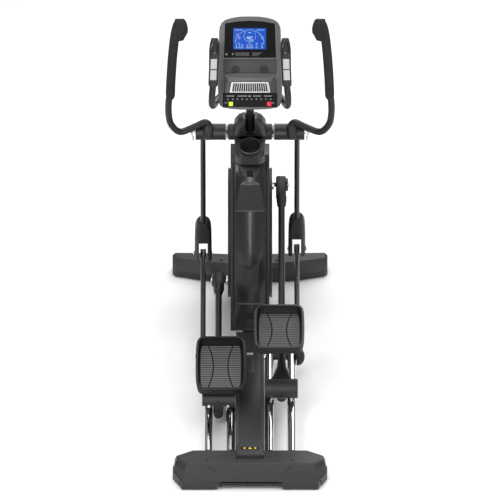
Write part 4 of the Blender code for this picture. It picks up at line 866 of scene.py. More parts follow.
    clasp = ring_loft("fork_" + side, [fork_ring(0.640, 0.0170, 0.046), fork_ring(0.646, 0.0240, 0.054), fork_ring(0.660, 0.0310, 0.060), fork_ring(0.684, 0.0360, 0.065), fork_ring(0.720, 0.0378, 0.066), fork_ring(0.780, 0.0385, 0.066), fork_ring(0.860, 0.0388, 0.060), fork_ring(SWING_L + 0.030, 0.0388, 0.050)], CHAR)
    cut(
        clasp,
        [
            swing.box("t", *sorted((X(LINK_X - 0.0196), X(LINK_X + 0.0196))), 0.7720, 1.0, -0.05, 0.05),
            ring_loft("t", [[swing.at(X(LINK_X) + p, u, q) for p, q in rounded(0.0256, 0.0456, 0.0120, 2)] for u in (0.55, 0.758)]),
        ],
    )
    # the fork bolt's two heads; its shank is left out, because the link's eye swings free between the legs
    weld(clasp, [rod_x("t", X(LINK_X + 0.0300), X(LINK_X + 0.0425), fork[0], fork[1], 0.0105, count=16), rod_x("t", X(LINK_X - 0.0300), X(LINK_X - 0.0405), fork[0], fork[1], 0.0105, count=16)])
    set_origin(clasp, (X(LINK_X), *PIVOT))

# ---------------------------------------------------------------- console: s up its face, d out of it
CON = (1.100, 1.336)
CS, CC = 0.5, math.sqrt(0.75)
SIDE = 0.4190
CON_MATRIX = Matrix(((1, 0, 0, 0), (0, CS, -CC, CON[0]), (0, CC, CS, CON[1]), (0, 0, 0, 1)))


def con(x, s, d):
    return (x, CON[0] + CS * s - CC * d, CON[1] + CC * s + CS * d)


def con_box(name, x0, x1, s0, s1, d0, d1, look=None, round_by=0, segments=2):
    return block(name, CON_MATRIX, (x0, x1), (s0, s1), (d0, d1), look, round_by, segments)


CON_EDGE = [(0.0, 0.4195), (0.0419, 0.4190), (0.0812, 0.4130), (0.1113, 0.4039), (0.1279, 0.3903), (0.1361, 0.3723), (0.1385, 0.3541), (0.1394, 0.2998), (0.1406, 0.2394), (0.1430, 0.1791), (0.1451, 0.1339), (0.1451, 0.1037), (0.1436, 0.0675), (0.1406, 0.0374), (0.1355, 0.0192), (0.1204, 0.0087), (0.0812, 0.0027), (0.0419, 0.0003)]
CON_EDGE += [(0.0, 0.0)] + [(-x, s) for x, s in CON_EDGE[:0:-1]]


def con_face(d, grow=0.0):
    """The console's outline moved outwards by `grow`, at a depth d."""
    out = []
    for x, s in CON_EDGE:
        out.append(con(x * (1 + grow / 0.139), SIDE / 2 + (s - SIDE / 2) * (1 + grow / (SIDE / 2)), d))
    return out


GLASS_EDGE = [(-0.1165, 0.2337), (0.1165, 0.2337), (0.1115, 0.3865), (0.0580, 0.3955), (0.0, 0.3990), (-0.0580, 0.3955), (-0.1115, 0.3865)]


def glass_loft(name, grow, depths, look=None):
    """The display's outline, arched along its top."""
    return ring_loft(name, [[con(x * (1 + grow / 0.115), 0.316 + (s - 0.316) * (1 + grow / 0.083), d) for x, s in GLASS_EDGE] for d in depths], look)


face = ring_loft("console_front", [con_face(-0.0300), con_face(-0.0080), con_face(-0.0020, -0.002), con_face(0.0, -0.006)], GREY)
hood = ring_loft("t", [[con(x, s, d) for x, s in ((-0.1180, 0.0757), (0.1180, 0.0757), (0.1170, 0.110), (0.1150, 0.140), (0.1080, 0.1570), (-0.1080, 0.1570), (-0.1150, 0.140), (-0.1170, 0.110))] for d in (-0.004, 0.006)] + [[con(x, s, 0.020) for x, s in ((-0.1100, 0.0768), (0.1100, 0.0768), (0.1060, 0.100), (0.1000, 0.124), (0.093, 0.134), (-0.093, 0.134), (-0.1000, 0.124), (-0.1060, 0.100))]])
weld(face, hood)
cut(
    face,
    [
        glass_loft("t", 0.0005, (-0.0060, 0.03)),
        con_box("t", -0.1200, 0.1200, 0.1585, 0.2265, -0.0040, 0.03),
        con_box("t", -0.1233, 0.1233, 0.0113, 0.0750, -0.0040, 0.03),
        con_box("t", -0.0960, -0.0764, 0.0160, 0.0358, -0.0140, 0.03),
        con_box("t", 0.0764, 0.0960, 0.0160, 0.0358, -0.0140, 0.03),
        ring_loft("t", [[con(x, s, d) for x, s in ((-0.0903, 0.0777), (0.0903, 0.0777), (0.0823, 0.1220), (-0.0823, 0.1220))] for d in (0.0120, 0.03)]),
        ring_loft("t", [[con(x, s, d) for x, s in ((-0.0803, 0.0820), (0.0803, 0.0820), (0.0743, 0.1170), (-0.0743, 0.1170))] for d in (-0.05, 0.03)]),
    ],
)

back = ring_loft("console_back", [con_face(-0.0303, -0.0005), con_face(-0.0450, -0.004), con_face(-0.0700, -0.020), con_face(-0.0830, -0.045)], CHAR)
cut(back, [ring_loft("t", [con_face(-0.0620, -0.028), con_face(-0.0450, -0.012), con_face(-0.0200, -0.012)])])
fan_post = ring_loft("t", [[con(p, 0.0975 + q, d) for p, q in circle(16, 0.006)] for d in (-0.0650, -0.0480)])
weld(back, fan_post)

glass = bevel(glass_loft("display", 0.0, (-0.0056, -0.0008), GLASS), 0.0012, 1, 50)
keys = con_box("key_panel", -0.1228, 0.1228, 0.0118, 0.0745, -0.0036, -0.0004, BLACK, 0.0010, 1)
cut(keys, [con_box("t", -0.0960, -0.0764, 0.0160, 0.0358, -0.0140, 0.03), con_box("t", 0.0764, 0.0960, 0.0160, 0.0358, -0.0140, 0.03)])
for name, x0, look in (("start_key", -0.0957, GREEN), ("stop_key", 0.0767, RED)):
    key = con_box(name, x0, x0 + 0.0190, 0.0163, 0.0355, -0.0100, 0.0022, look, 0.0012, 2)
    set_origin(key, con(x0 + 0.0095, 0.0259, 0.0022))

grille = ring_loft("fan_grille", [[con(x, s, d) for x, s in ((-0.0900, 0.0780), (0.0900, 0.0780), (0.0820, 0.1217), (-0.0820, 0.1217))] for d in (0.0123, 0.0200)], SILVER)
slots = None
for k in range(16):
    t = -1 + (2 * k + 1) / 16
    low, high = 0.0820 * t, 0.0750 * t
    bar = ring_loft("t", [[con(x, s, d) for x, s in ((low - 0.0036, 0.0812), (low + 0.0036, 0.0812), (high + 0.0033, 0.1180), (high - 0.0033, 0.1180))] for d in (0.0, 0.03)])
    slots = join(slots, [bar]) if slots else bar
cut(grille, slots)

fan = ring_loft("fan_rotor", [[con(p, 0.0975 + q, d) for p, q in circle(12, r)] for d, r in ((-0.0475, 0.0130), (-0.0380, 0.0130), (-0.0360, 0.0090))], BLACK)
for k in range(5):
    a = TAU * k / 5
    blade = []
    for r, wide, twist in ((0.010, 0.008, 0.65), (0.024, 0.013, 0.55), (0.0345, 0.015, 0.45)):
        ring = []
        for u, w in ((-wide, -0.0007), (wide, -0.0007), (wide, 0.0007), (-wide, 0.0007)):
            across_, out_ = u * math.cos(twist) - w * math.sin(twist), u * math.sin(twist) * 0.45 + w
            ring.append(con(r * math.cos(a) - across_ * math.sin(a), 0.0975 + r * math.sin(a) + across_ * math.cos(a), -0.0418 + out_))
        blade.append(ring)
    weld(fan, ring_loft("t", blade))
set_origin(fan, con(0, 0.0975, -0.0418))

# ---------------------------------------------------------------- fixed pulse bar, grips, thumb keys
PULSE = [(0.1600, 1.1480, 1.6300), (0.1625, 1.1150, 1.5550), (0.1660, 1.0800, 1.4780), (0.1710, 1.0640, 1.4200), (0.1700, 1.0780, 1.3720), (0.1600, 1.1400, 1.3400), (0.1400, 1.2150, 1.3330), (0.1050, 1.2440, 1.3440), (0.0500, 1.2520, 1.3560), (0.0, 1.2540, 1.3600)]
half = smooth_path(PULSE[1:], 2)
whole = half[:-1] + [Vector((-p.x, p.y, p.z)) for p in half[::-1]]
bar = sweep("pulse_bar", whole, circle(12, 0.0150), PAINT, side=(0, 1, 0))
clamp_frame = Frame((1.2900, 1.3640), math.atan2(MAST_TOP[1] - PIVOT[1], MAST_TOP[0] - PIVOT[0]) - math.pi / 2)
weld(bar, clamp_frame.box("t", -0.0190, 0.0190, -0.0400, -0.0185, -0.022, 0.022))
cut(bar, sweep("t", mast_path(), circle(20, MAST_R + 0.0006)))

for side, sign in (("right", 1), ("left", -1)):
    line = [Vector((sign * x, y, z)) for x, y, z in ((0.1664, 1.0768, 1.4705), (0.1658, 1.0810, 1.4810), (0.1633, 1.1070, 1.5375), (0.1616, 1.1250, 1.5790), (0.1600, 1.1420, 1.6180), (0.1589, 1.1540, 1.6455), (0.1581, 1.1640, 1.6690))]
    along = (line[-1] - line[0]).normalized()
    face_out = Vector((0, -along.z, along.y)).normalized()
    profile = [(p, q) for p, q in rounded(0.0430, 0.0400, 0.0190, 3)]
    hand = sweep("pulse_grip_" + side, line, profile, GREY, side=(1, 0, 0), scales=[0.90, 1.0, 1.0, 1.06, 1.12, 1.0, 0.70])
    base = line[0]
    # sensor plates, set on the face of the grip
    for a, b in ((0.030, 0.074), (0.080, 0.124)):
        plate = []
        for wide, out in ((0.0135, 0.0170), (0.0135, 0.0205), (0.0120, 0.0212)):
            plate.append([tuple(base + along * t + face_out * out + Vector((sign * 0.0 + u, 0, 0))) for u, t in ((-wide, a), (wide, a), (wide, b), (-wide, b))])
        weld(hand, ring_loft("t", plate))
    tip = base + along * 0.1745
    cut(hand, sweep("t", [Vector((sign * p.x, p.y, p.z)) for p in ([half[0] + (half[0] - half[1]) * 0.2] + half[:28])], circle(12, 0.0164), side=(0, 1, 0)))
    hole = [[tuple(tip + Vector((p, 0, 0)) + along * q + face_out * d) for p, q in circle(20, 0.0133, 0.0193)] for d in (0.0070, 0.06)]
    cut(hand, ring_loft("t", hole))
    button = ring_loft("thumb_key_" + side, [[tuple(tip + Vector((p, 0, 0)) + along * q + face_out * d) for p, q in circle(20, 0.0129 * k, 0.0189 * k)] for d, k in ((0.0110, 1), (0.0225, 1), (0.0250, 0.84))], BLACK)
    set_origin(button, tuple(tip + face_out * 0.0250))


# ---------------------------------------------------------------- detail pieces: (object, body, slot)
EXTRA = []


def extra(obj, on, slot):
    EXTRA.append((obj, on, slot))
    return obj


def px(x, v):
    """A point of the console's face, from its place across and its height down the face."""
    return ((x - 250) / 222, (110.05 - v) / 222)


def con_plate(name, points, d0, d1, round_by=0.0, segments=2):
    """A flat piece on the console's face from an outline of (across, down)."""
    outline = [px(*p) for p in points]
    obj = ring_loft(name, [[con(x, s, d) for x, s in outline] for d in (d0, d1)])
    return bevel(obj, round_by, segments) if round_by else obj


def con_rect(name, x0, v0, x1, v1, d0, d1, round_by=0.0):
    return con_plate(name, [(x0, v1), (x1, v1), (x1, v0), (x0, v0)], d0, d1, round_by)


def con_disc(name, x, v, r, d0, d1, count=24, inner=0.0):
    cx, cs = px(x, v)
    if inner:
        return ring_loft(name, [[con(cx + k * math.cos(TAU * i / count), cs + k * math.sin(TAU * i / count), d) for i in range(count)] for k, d in ((inner, d0), (r, d0), (r, d1), (inner, d1))], closed=True)
    return ring_loft(name, [[con(cx + k * math.cos(TAU * i / count), cs + k * math.sin(TAU * i / count), d) for i in range(count)] for k, d in ((r, d0), (r, d1 - 0.0002), (r - 0.0002, d1))])


def gather(name, parts):
    """Many small bodies as one piece."""
    first = parts[0]
    if len(parts) > 1:
        join(first, parts[1:])
    first.name = name
    return first


# ---------------------------------------------------------------- materials
def nodes_of(name):
    look = bpy.data.materials.new(name)
    look.use_nodes = True
    tree = look.node_tree
    return look, tree, tree.nodes["Principled BSDF"]


def place(tree):
    return tree.nodes.new("ShaderNodeTexCoord").outputs["Object"]


def noise(tree, scale, detail=3.0, rough=0.55, at=None, stretch=None):
    node = tree.nodes.new("ShaderNodeTexNoise")
    node.inputs["Scale"].default_value = scale
    node.inputs["Detail"].default_value = detail
    node.inputs["Roughness"].default_value = rough
    source = at or place(tree)
    if stretch:
        mapping = tree.nodes.new("ShaderNodeMapping")
        mapping.inputs["Scale"].default_value = stretch
        tree.links.new(source, mapping.inputs["Vector"])
        source = mapping.outputs["Vector"]
    tree.links.new(source, node.inputs["Vector"])
    return node.outputs["Fac"]


def ramp(tree, value, stops):
    node = tree.nodes.new("ShaderNodeValToRGB")
    marks = node.color_ramp.elements
    while len(marks) < len(stops):
        marks.new(0.5)
    for mark, (at, colour) in zip(marks, stops):
        mark.position = at
        mark.color = (*colour, 1) if len(colour) == 3 else colour
    tree.links.new(value, node.inputs["Fac"])
    return node.outputs["Color"]


def span(tree, value, low, high):
    node = tree.nodes.new("ShaderNodeMapRange")
    node.inputs["To Min"].default_value = low
    node.inputs["To Max"].default_value = high
    tree.links.new(value, node.inputs["Value"])
    return node.outputs["Result"]


def bump(tree, shader, value, distance, strength=1.0, after=None):
    node = tree.nodes.new("ShaderNodeBump")
    node.inputs["Distance"].default_value = distance
    node.inputs["Strength"].default_value = strength
    tree.links.new(value, node.inputs["Height"])
    if after is not None:
        tree.links.new(after.outputs["Normal"], node.inputs["Normal"])
    tree.links.new(node.outputs["Normal"], shader.inputs["Normal"])
    return node


def tone(colour, by):
    return tuple(min(1.0, c * by) for c in colour)


def moulded(name, colour, rough, grain=1400.0, depth=0.00005, spread=0.05, coat=0.0, edge_highlight=1.35, shine=0.32):
    """Moulded plastic or powder paint: fine grain, faint mottling, and sharp edges painted a little lighter as a
    highlight.
    """
    look, tree, shader = nodes_of(name)
    wide = noise(tree, 9.0, 4.0)
    base = ramp(tree, wide, [(0.30, tone(colour, 1 - spread)), (0.70, tone(colour, 1 + spread))])
    # painted highlight: where the surface is pointy (sharp convex edges) the colour is mixed toward a lighter tone,
    # edge_highlight times the base
    geometry = tree.nodes.new("ShaderNodeNewGeometry")
    edge = span(tree, geometry.outputs["Pointiness"], 0.0, 1.0)
    edges = ramp(tree, edge, [(0.52, (0, 0, 0)), (0.60, (1, 1, 1))])
    mix = tree.nodes.new("ShaderNodeMix")
    mix.data_type = "RGBA"
    tree.links.new(edges, mix.inputs["Factor"])
    tree.links.new(base, mix.inputs["A"])
    mix.inputs["B"].default_value = (*tone(colour, edge_highlight), 1)
    tree.links.new(mix.outputs["Result"], shader.inputs["Base Color"])
    tree.links.new(span(tree, noise(tree, 60.0, 3.0), rough - 0.03, rough + 0.03), shader.inputs["Roughness"])
    shader.inputs["Specular IOR Level"].default_value = shine
    if coat:
        shader.inputs["Coat Weight"].default_value = coat
        shader.inputs["Coat Roughness"].default_value = 0.12
    bump(tree, shader, noise(tree, grain, 2.0), depth)
    return look


def metal(name, colour, rough, stretch=None, scale=300.0, depth=0.00002, spread=0.06):
    look, tree, shader = nodes_of(name)
    shader.inputs["Metallic"].default_value = 1.0
    wide = noise(tree, 14.0, 3.0)
    tree.links.new(ramp(tree, wide, [(0.3, tone(colour, 1 - spread)), (0.7, tone(colour, 1 + spread))]), shader.inputs["Base Color"])
    fine = noise(tree, scale, 3.0, stretch=stretch)
    tree.links.new(span(tree, fine, max(0.02, rough - 0.05), rough + 0.05), shader.inputs["Roughness"])
    bump(tree, shader, fine, depth)
    return look


def soft(name, colour, cell=900.0, depth=0.0004, rough=0.92):
    """Closed-cell foam or rubber: small cells under a matt skin."""
    look, tree, shader = nodes_of(name)
    cells = tree.nodes.new("ShaderNodeTexVoronoi")
    cells.inputs["Scale"].default_value = cell
    tree.links.new(place(tree), cells.inputs["Vector"])
    tree.links.new(ramp(tree, noise(tree, 22.0, 4.0), [(0.3, tone(colour, 0.82)), (0.7, tone(colour, 1.2))]), shader.inputs["Base Color"])
    tree.links.new(span(tree, noise(tree, 90.0), rough - 0.06, min(1.0, rough + 0.05)), shader.inputs["Roughness"])
    shader.inputs["Specular IOR Level"].default_value = 0.2
    bump(tree, shader, cells.outputs["Distance"], depth)
    return look


def glossy(name, colour, rough=0.06):
    look, tree, shader = nodes_of(name)
    tree.links.new(ramp(tree, noise(tree, 12.0), [(0.3, tone(colour, 0.85)), (0.7, tone(colour, 1.15))]), shader.inputs["Base Color"])
    tree.links.new(span(tree, noise(tree, 35.0), max(0.02, rough - 0.02), rough + 0.03), shader.inputs["Roughness"])
    shader.inputs["Specular IOR Level"].default_value = 0.22
    bump(tree, shader, noise(tree, 20.0, 2.0), 0.00002)
    return look


def lit(name, colour, strength=1.0, second=None):
    """Backlit display ink."""
    look, tree, shader = nodes_of(name)
    shader.inputs["Base Color"].default_value = (*tone(colour, 0.15), 1)
    wide = noise(tree, 26.0, 3.0)
    glow = ramp(tree, wide, [(0.25, tone(colour, 0.86)), (0.75, second or tone(colour, 1.14))])
    tree.links.new(glow, shader.inputs["Emission Color"])
    shader.inputs["Emission Strength"].default_value = strength
    shader.inputs["Specular IOR Level"].default_value = 0.1
    shader.inputs["Roughness"].default_value = 0.3
    return look


LOOKS = {
    "charcoal_plastic": moulded("charcoal_plastic", (0.019, 0.019, 0.0195), 0.42),
    "black_plastic": moulded("black_plastic", (0.008, 0.008, 0.0085), 0.48),
    "gloss_black": moulded("gloss_black", (0.010, 0.010, 0.0105), 0.24, grain=300.0, depth=0.00001, coat=0.2),
    "grey_plastic": moulded("grey_plastic", (0.070, 0.070, 0.071), 0.46, edge_highlight=1.2),
    "charcoal_paint": moulded("charcoal_paint", (0.013, 0.013, 0.0135), 0.34, grain=2200.0, depth=0.00003, coat=0.06),
    "steel": metal("steel", (0.62, 0.62, 0.62), 0.28, stretch=(1.0, 14.0, 14.0)),
    "chrome": metal("chrome", (0.72, 0.72, 0.73), 0.10, stretch=(30.0, 1.0, 30.0), scale=120.0),
    "rubber": soft("rubber", (0.009, 0.009, 0.009), cell=1400.0, depth=0.00015, rough=0.85),
    "foam": soft("foam", (0.024, 0.024, 0.0243)),
    "screen": glossy("screen", (0.004, 0.004, 0.005)),
    "silver_plastic": metal("silver_plastic", (0.66, 0.66, 0.67), 0.32, scale=500.0),
    "green_key": moulded("green_key", (0.44, 0.66, 0.035), 0.42, spread=0.05),
    "red_key": moulded("red_key", (0.75, 0.012, 0.040), 0.42, spread=0.05),
    "iron": metal("iron", (0.20, 0.20, 0.20), 0.55, scale=700.0, depth=0.0002),
    "wheel_polymer": moulded("wheel_polymer", (0.10, 0.10, 0.10), 0.5),
}
OTHER = {
    "lcd": lit("lcd", (0.014, 0.090, 0.50), 0.9),
    "lcd_ink": lit("lcd_ink", (0.50, 0.68, 1.0), 1.1),
    "lamp": lit("lamp", (0.36, 0.42, 0.26), 0.55),
    "label": moulded("label", (0.30, 0.30, 0.31), 0.5),
    "sensor": moulded("sensor", (0.40, 0.40, 0.40), 0.36, edge_highlight=1.05),
    "console_grey": moulded("console_grey", (0.088, 0.088, 0.090), 0.42, edge_highlight=1.15),
    "panel_grey": moulded("panel_grey", (0.044, 0.044, 0.045), 0.55, edge_highlight=1.1),
    # one tread in two tones: the left is painted lighter than the right, as painted light and shade
    "tread_left": moulded("tread_left", (0.125, 0.125, 0.127), 0.62, grain=700.0, depth=0.0002, edge_highlight=1.15),
    "tread_right": moulded("tread_right", (0.088, 0.088, 0.089), 0.62, grain=700.0, depth=0.0002, edge_highlight=1.15),
    # grey for the printed captions, and for a thin line painted lighter as a highlight
    "print_and_highlight_grey": moulded("print_and_highlight_grey", (0.10, 0.10, 0.103), 0.5, edge_highlight=1.1),
    "panel_dark": moulded("panel_dark", (0.024, 0.024, 0.0245), 0.6),
    "console_hood": moulded("console_hood", (0.052, 0.052, 0.053), 0.40, edge_highlight=1.1),
    "key_black": moulded("key_black", (0.004, 0.004, 0.004), 0.30, edge_highlight=1.5, shine=0.2),
    # near-black used as painted shade in slots, grooves, creases, seams, wells and holes, and for the printed warning
    # band on the spine
    "shade_and_print_black": moulded("shade_and_print_black", (0.003, 0.003, 0.003), 0.8, edge_highlight=1.2),
    # lighter grey painted on rims, chamfers, ribs and edges as highlights
    "painted_highlight_grey": moulded("painted_highlight_grey", (0.056, 0.056, 0.057), 0.32, edge_highlight=1.1),
    "strip_grey": moulded("strip_grey", (0.034, 0.034, 0.0345), 0.40, edge_highlight=1.1),
    "panel_flat": moulded("panel_flat", (0.016, 0.016, 0.0165), 0.60, edge_highlight=1.2),
    "housing_gloss": moulded("housing_gloss", (0.012, 0.012, 0.0125), 0.30, grain=500.0, depth=0.00001, coat=0.25, edge_highlight=1.2),
    "tread_dark": moulded("tread_dark", (0.022, 0.022, 0.022), 0.7),
    "yellow": moulded("yellow", (0.60, 0.45, 0.03), 0.5),
}

SLOT = {}
for node, slot in (
    ("main_frame", "charcoal_paint"), ("spine_cover", "charcoal_plastic"), ("rear_stabilizer_cover", "charcoal_plastic"), ("rear_lift_bar", "black_plastic"),
    ("rails_right", "chrome"), ("rails_left", "chrome"), ("front_stabilizer_cover", "charcoal_plastic"), ("housing_right", "charcoal_plastic"), ("housing_left", "charcoal_plastic"),
    ("housing_rear_panel", "gloss_black"), ("mast_cover", "charcoal_plastic"), ("bottle_holder", "charcoal_plastic"), ("mast_tube", "charcoal_paint"), ("drive_belt", "rubber"),
    ("pivot_shaft", "steel"), ("console_front", "grey_plastic"), ("console_back", "charcoal_plastic"), ("display", "screen"), ("key_panel", "gloss_black"), ("fan_grille", "silver_plastic"),
    ("pulse_bar", "charcoal_paint"), ("pulse_grip_right", "charcoal_plastic"), ("pulse_grip_left", "charcoal_plastic"), ("crank_set", "steel"), ("crank_pulley", "black_plastic"),
    ("crank_disc_right", "charcoal_plastic"), ("crank_disc_left", "charcoal_plastic"), ("flywheel", "iron"), ("tension_idler", "wheel_polymer"), ("fan_rotor", "black_plastic"),
    ("start_key", "green_key"), ("stop_key", "red_key"),
):
    SLOT[node] = slot
for side in ("right", "left"):
    for node, slot in (
        ("roller_axle", "steel"), ("rollers", "wheel_polymer"), ("pedal_arm", "charcoal_paint"), ("crank_head", "charcoal_plastic"), ("carriage", "charcoal_plastic"),
        ("foot_link", "charcoal_paint"), ("pedal", "black_plastic"), ("swing_arm", "charcoal_paint"), ("handlebar", "charcoal_paint"), ("grip", "foam"), ("fork", "charcoal_plastic"),
        ("transport_wheel", "rubber"), ("rear_foot", "rubber"), ("thumb_key", "black_plastic"),
    ):
        SLOT[node + "_" + side] = slot

PAINTED = {"console_front": OTHER["console_grey"], "key_panel": OTHER["key_black"], "rear_foot_right": None}

# console: screen, lamps, captions, speakers, hood, keys
LCD = (233.3, 28.7, 266.0, 49.8)
extra(con_rect("lcd_panel", *LCD, -0.0009, -0.0003, 0.0003), "frame", "lcd")
ink = []


def stroke(x0, v0, x1, v1):
    ink.append(con_rect("t", x0, v0, x1, v1, -0.0005, 0.0001))


ink.append(con_disc("t", 249.8, 36.2, 0.0272, -0.0004, 0.0001, 56, inner=0.0264))
for x, v, wide in ((249.8, 33.2, 2.2), (249.8, 37.6, 6.0), (249.0, 38.9, 4.6)):
    stroke(x - wide / 2, v - 0.28, x + wide / 2, v + 0.28)


def digit(x, v, wide, tall, segments):
    t = 0.20
    x0, x1, v0, v1, vm = x - wide / 2, x + wide / 2, v - tall / 2, v + tall / 2, v
    drawn = {"a": (x0, v0, x1, v0 + t), "g": (x0, vm - t / 2, x1, vm + t / 2), "d": (x0, v1 - t, x1, v1), "f": (x0, v0, x0 + t, vm), "b": (x1 - t, v0, x1, vm), "e": (x0, vm, x0 + t, v1), "c": (x1 - t, vm, x1, v1)}
    for k in segments:
        stroke(*drawn[k])


for x, v in ((249.6, 41.0), (251.9, 41.0), (239.2, 38.2), (262.2, 38.4)):
    digit(x, v, 1.5, 2.7, "abcdef")
for x, v in ((237.2, 35.4), (260.2, 35.2)):
    digit(x, v, 1.2, 1.6, "adg")
for x in (236.2, 239.4, 242.2, 247.2, 249.6, 252.0, 256.4, 262.0):
    digit(x, 46.2, 1.3, 2.3, "abgcd" if x < 250 else "abged")
for x0, x1 in ((235.0, 243.6), (246.0, 253.4), (255.4, 258.0), (260.8, 263.6)):
    stroke(x0, 48.2, x1, 48.55)
for x in (238.6, 249.8, 257.0, 262.6):
    stroke(x - 1.3, 43.7, x + 1.3, 44.0)
for x0, x1 in ((235.2, 243.0), (256.6, 264.4)):
    stroke(x0, 30.4, x1, 30.75)
for sgn in (-1, 1):
    arc = []
    for k in range(19):
        a = math.radians(18 + 72 * k / 18)
        arc.append((249.65 + sgn * 14.6 * math.sin(a) * 0.98, 43.8 - 13.2 * math.cos(a)))
    for (xa, va), (xb, vb) in zip(arc, arc[1:]):
        n = Vector((vb - va, xa - xb)).normalized() * 0.11
        ink.append(con_plate("t", [(xa + n.x, va + n.y), (xb + n.x, vb + n.y), (xb - n.x, vb - n.y), (xa - n.x, va - n.y)], -0.0005, 0.0001))
extra(gather("lcd_marks", ink), "frame", "lcd_ink")
extra(gather("console_lamps", [con_disc("t", 226.5, 54.8, 0.0047, -0.0008, 0.0004), con_disc("t", 232.9, 54.6, 0.0040, -0.0008, 0.0004)]), "frame", "lamp")
bars = []
for k, (x0, x1) in enumerate(((235.4, 249.4), (252.2, 262.0))):
    for row in range(6):
        bars.append(con_rect("t", x0, 53.0 + 0.62 * row, x1 - (0.8 * row if k else 0.3 * (row % 2)), 53.26 + 0.62 * row, -0.0009, -0.0002))
extra(gather("console_captions", bars), "frame", "print_and_highlight_grey")
# a thin lighter line along the top edge of the speaker recess: a painted highlight
extra(con_rect("console_brightline", 223.2, 58.75, 275.9, 59.35, -0.0045, 0.0004, 0.0003), "frame", "print_and_highlight_grey")
extra(con_rect("console_recess", 223.3, 59.9, 276.7, 74.2, -0.0046, -0.0036, 0.0003), "frame", "panel_grey")
for side, x in (("right", 263.9), ("left", 235.6)):
    rings = [con_disc("t", x, 70.3, r, -0.0040, -0.0026, 40, inner=r - 0.0011) for r in (0.0192, 0.0160, 0.0128, 0.0096, 0.0064, 0.0034)]
    extra(gather("speaker_" + side, rings), "frame", "black_plastic")
    extra(con_disc("speaker_bed_" + side, x, 70.3, 0.0196, -0.0044, -0.0032, 40), "frame", "panel_dark")

# the hood over the fan outlet
HOOD = [(-0.1180, 0.0757), (-0.1176, 0.0900), (-0.1166, 0.1150), (-0.1150, 0.1380), (-0.1120, 0.1500), (-0.1050, 0.1585), (-0.0900, 0.1625), (-0.0500, 0.1640)]


def hood_ring(d, down=0.0, narrow=0.0):
    left = [(x + narrow, s - down * max(0.0, (s - 0.0757) / 0.088) ** 1.5) for x, s in HOOD]
    return [con(x, s, d) for x, s in left + [(-x, s) for x, s in left[::-1]]]


hood_piece = ring_loft("fan_hood", [hood_ring(-0.0040), hood_ring(0.0040, 0.001), hood_ring(0.0090, 0.008, 0.001), hood_ring(0.0140, 0.020, 0.003), hood_ring(0.0185, 0.031, 0.006), hood_ring(0.0203, 0.036, 0.009)])
cut(hood_piece, [ring_loft("t", [[con(x, s, d) for x, s in ((-0.0906, 0.0774), (0.0906, 0.0774), (0.0826, 0.1224), (-0.0826, 0.1224))] for d in (-0.03, 0.03)])])
extra(hood_piece, "frame", "console_hood")
lip = []
for a, b in (((-0.0900, 0.0785), (0.0900, 0.0785)), ((0.0900, 0.0785), (0.0820, 0.1217)), ((0.0820, 0.1217), (-0.0820, 0.1217)), ((-0.0820, 0.1217), (-0.0900, 0.0785))):
    lip.append(bar_along("t", [con(a[0], a[1], 0.0205), con(b[0], b[1], 0.0205)], 0.0019, None, 12))
extra(gather("fan_grille_lip", lip), "frame", "silver_plastic")
back_plate = ring_loft("fan_grille_shadow", [[con(x, s, d) for x, s in ((-0.0890, 0.0790), (0.0890, 0.0790), (0.0812, 0.1208), (-0.0812, 0.1208))] for d in (0.0060, 0.0075)])
extra(back_plate, "frame", "black_plastic")

# key field
marks = []
for x0, x1 in ((226.6, 234.2), (237.6, 247.0), (253.2, 261.0), (264.0, 271.6)):
    marks.append(con_rect("t", x0, 96.15, x1, 96.75, -0.0008, 0.0002))
marks.append(con_plate("t", [(248.4, 97.1), (250.8, 97.1), (249.6, 95.2)], -0.0008, 0.0002))
extra(gather("key_captions", marks), "frame", "label")
small = []
for k in range(10):
    x = 228.0 + 4.72 * k
    small.append(con_disc("t", x, 99.8, 0.0052, -0.0010, 0.0007, 20))
extra(gather("program_keys", small), "frame", "black_plastic")
small = []
for k in range(10):
    x = 228.0 + 4.72 * k
    if k in (0, 9):
        small.append(con_disc("t", x, 99.8, 0.0034, 0.0005, 0.0010, 20, inner=0.0022))
    else:
        small.append(con_plate("t", [(x - 0.75, 99.2), (x + 0.75, 99.2), (x, 100.3)], 0.0005, 0.0010))
small += [con_rect("t", 224.6, 103.0, 227.4, 103.5, -0.0008, 0.0002), con_rect("t", 271.4, 103.0, 274.0, 103.5, -0.0008, 0.0002)]
extra(gather("program_marks", small), "frame", "label")

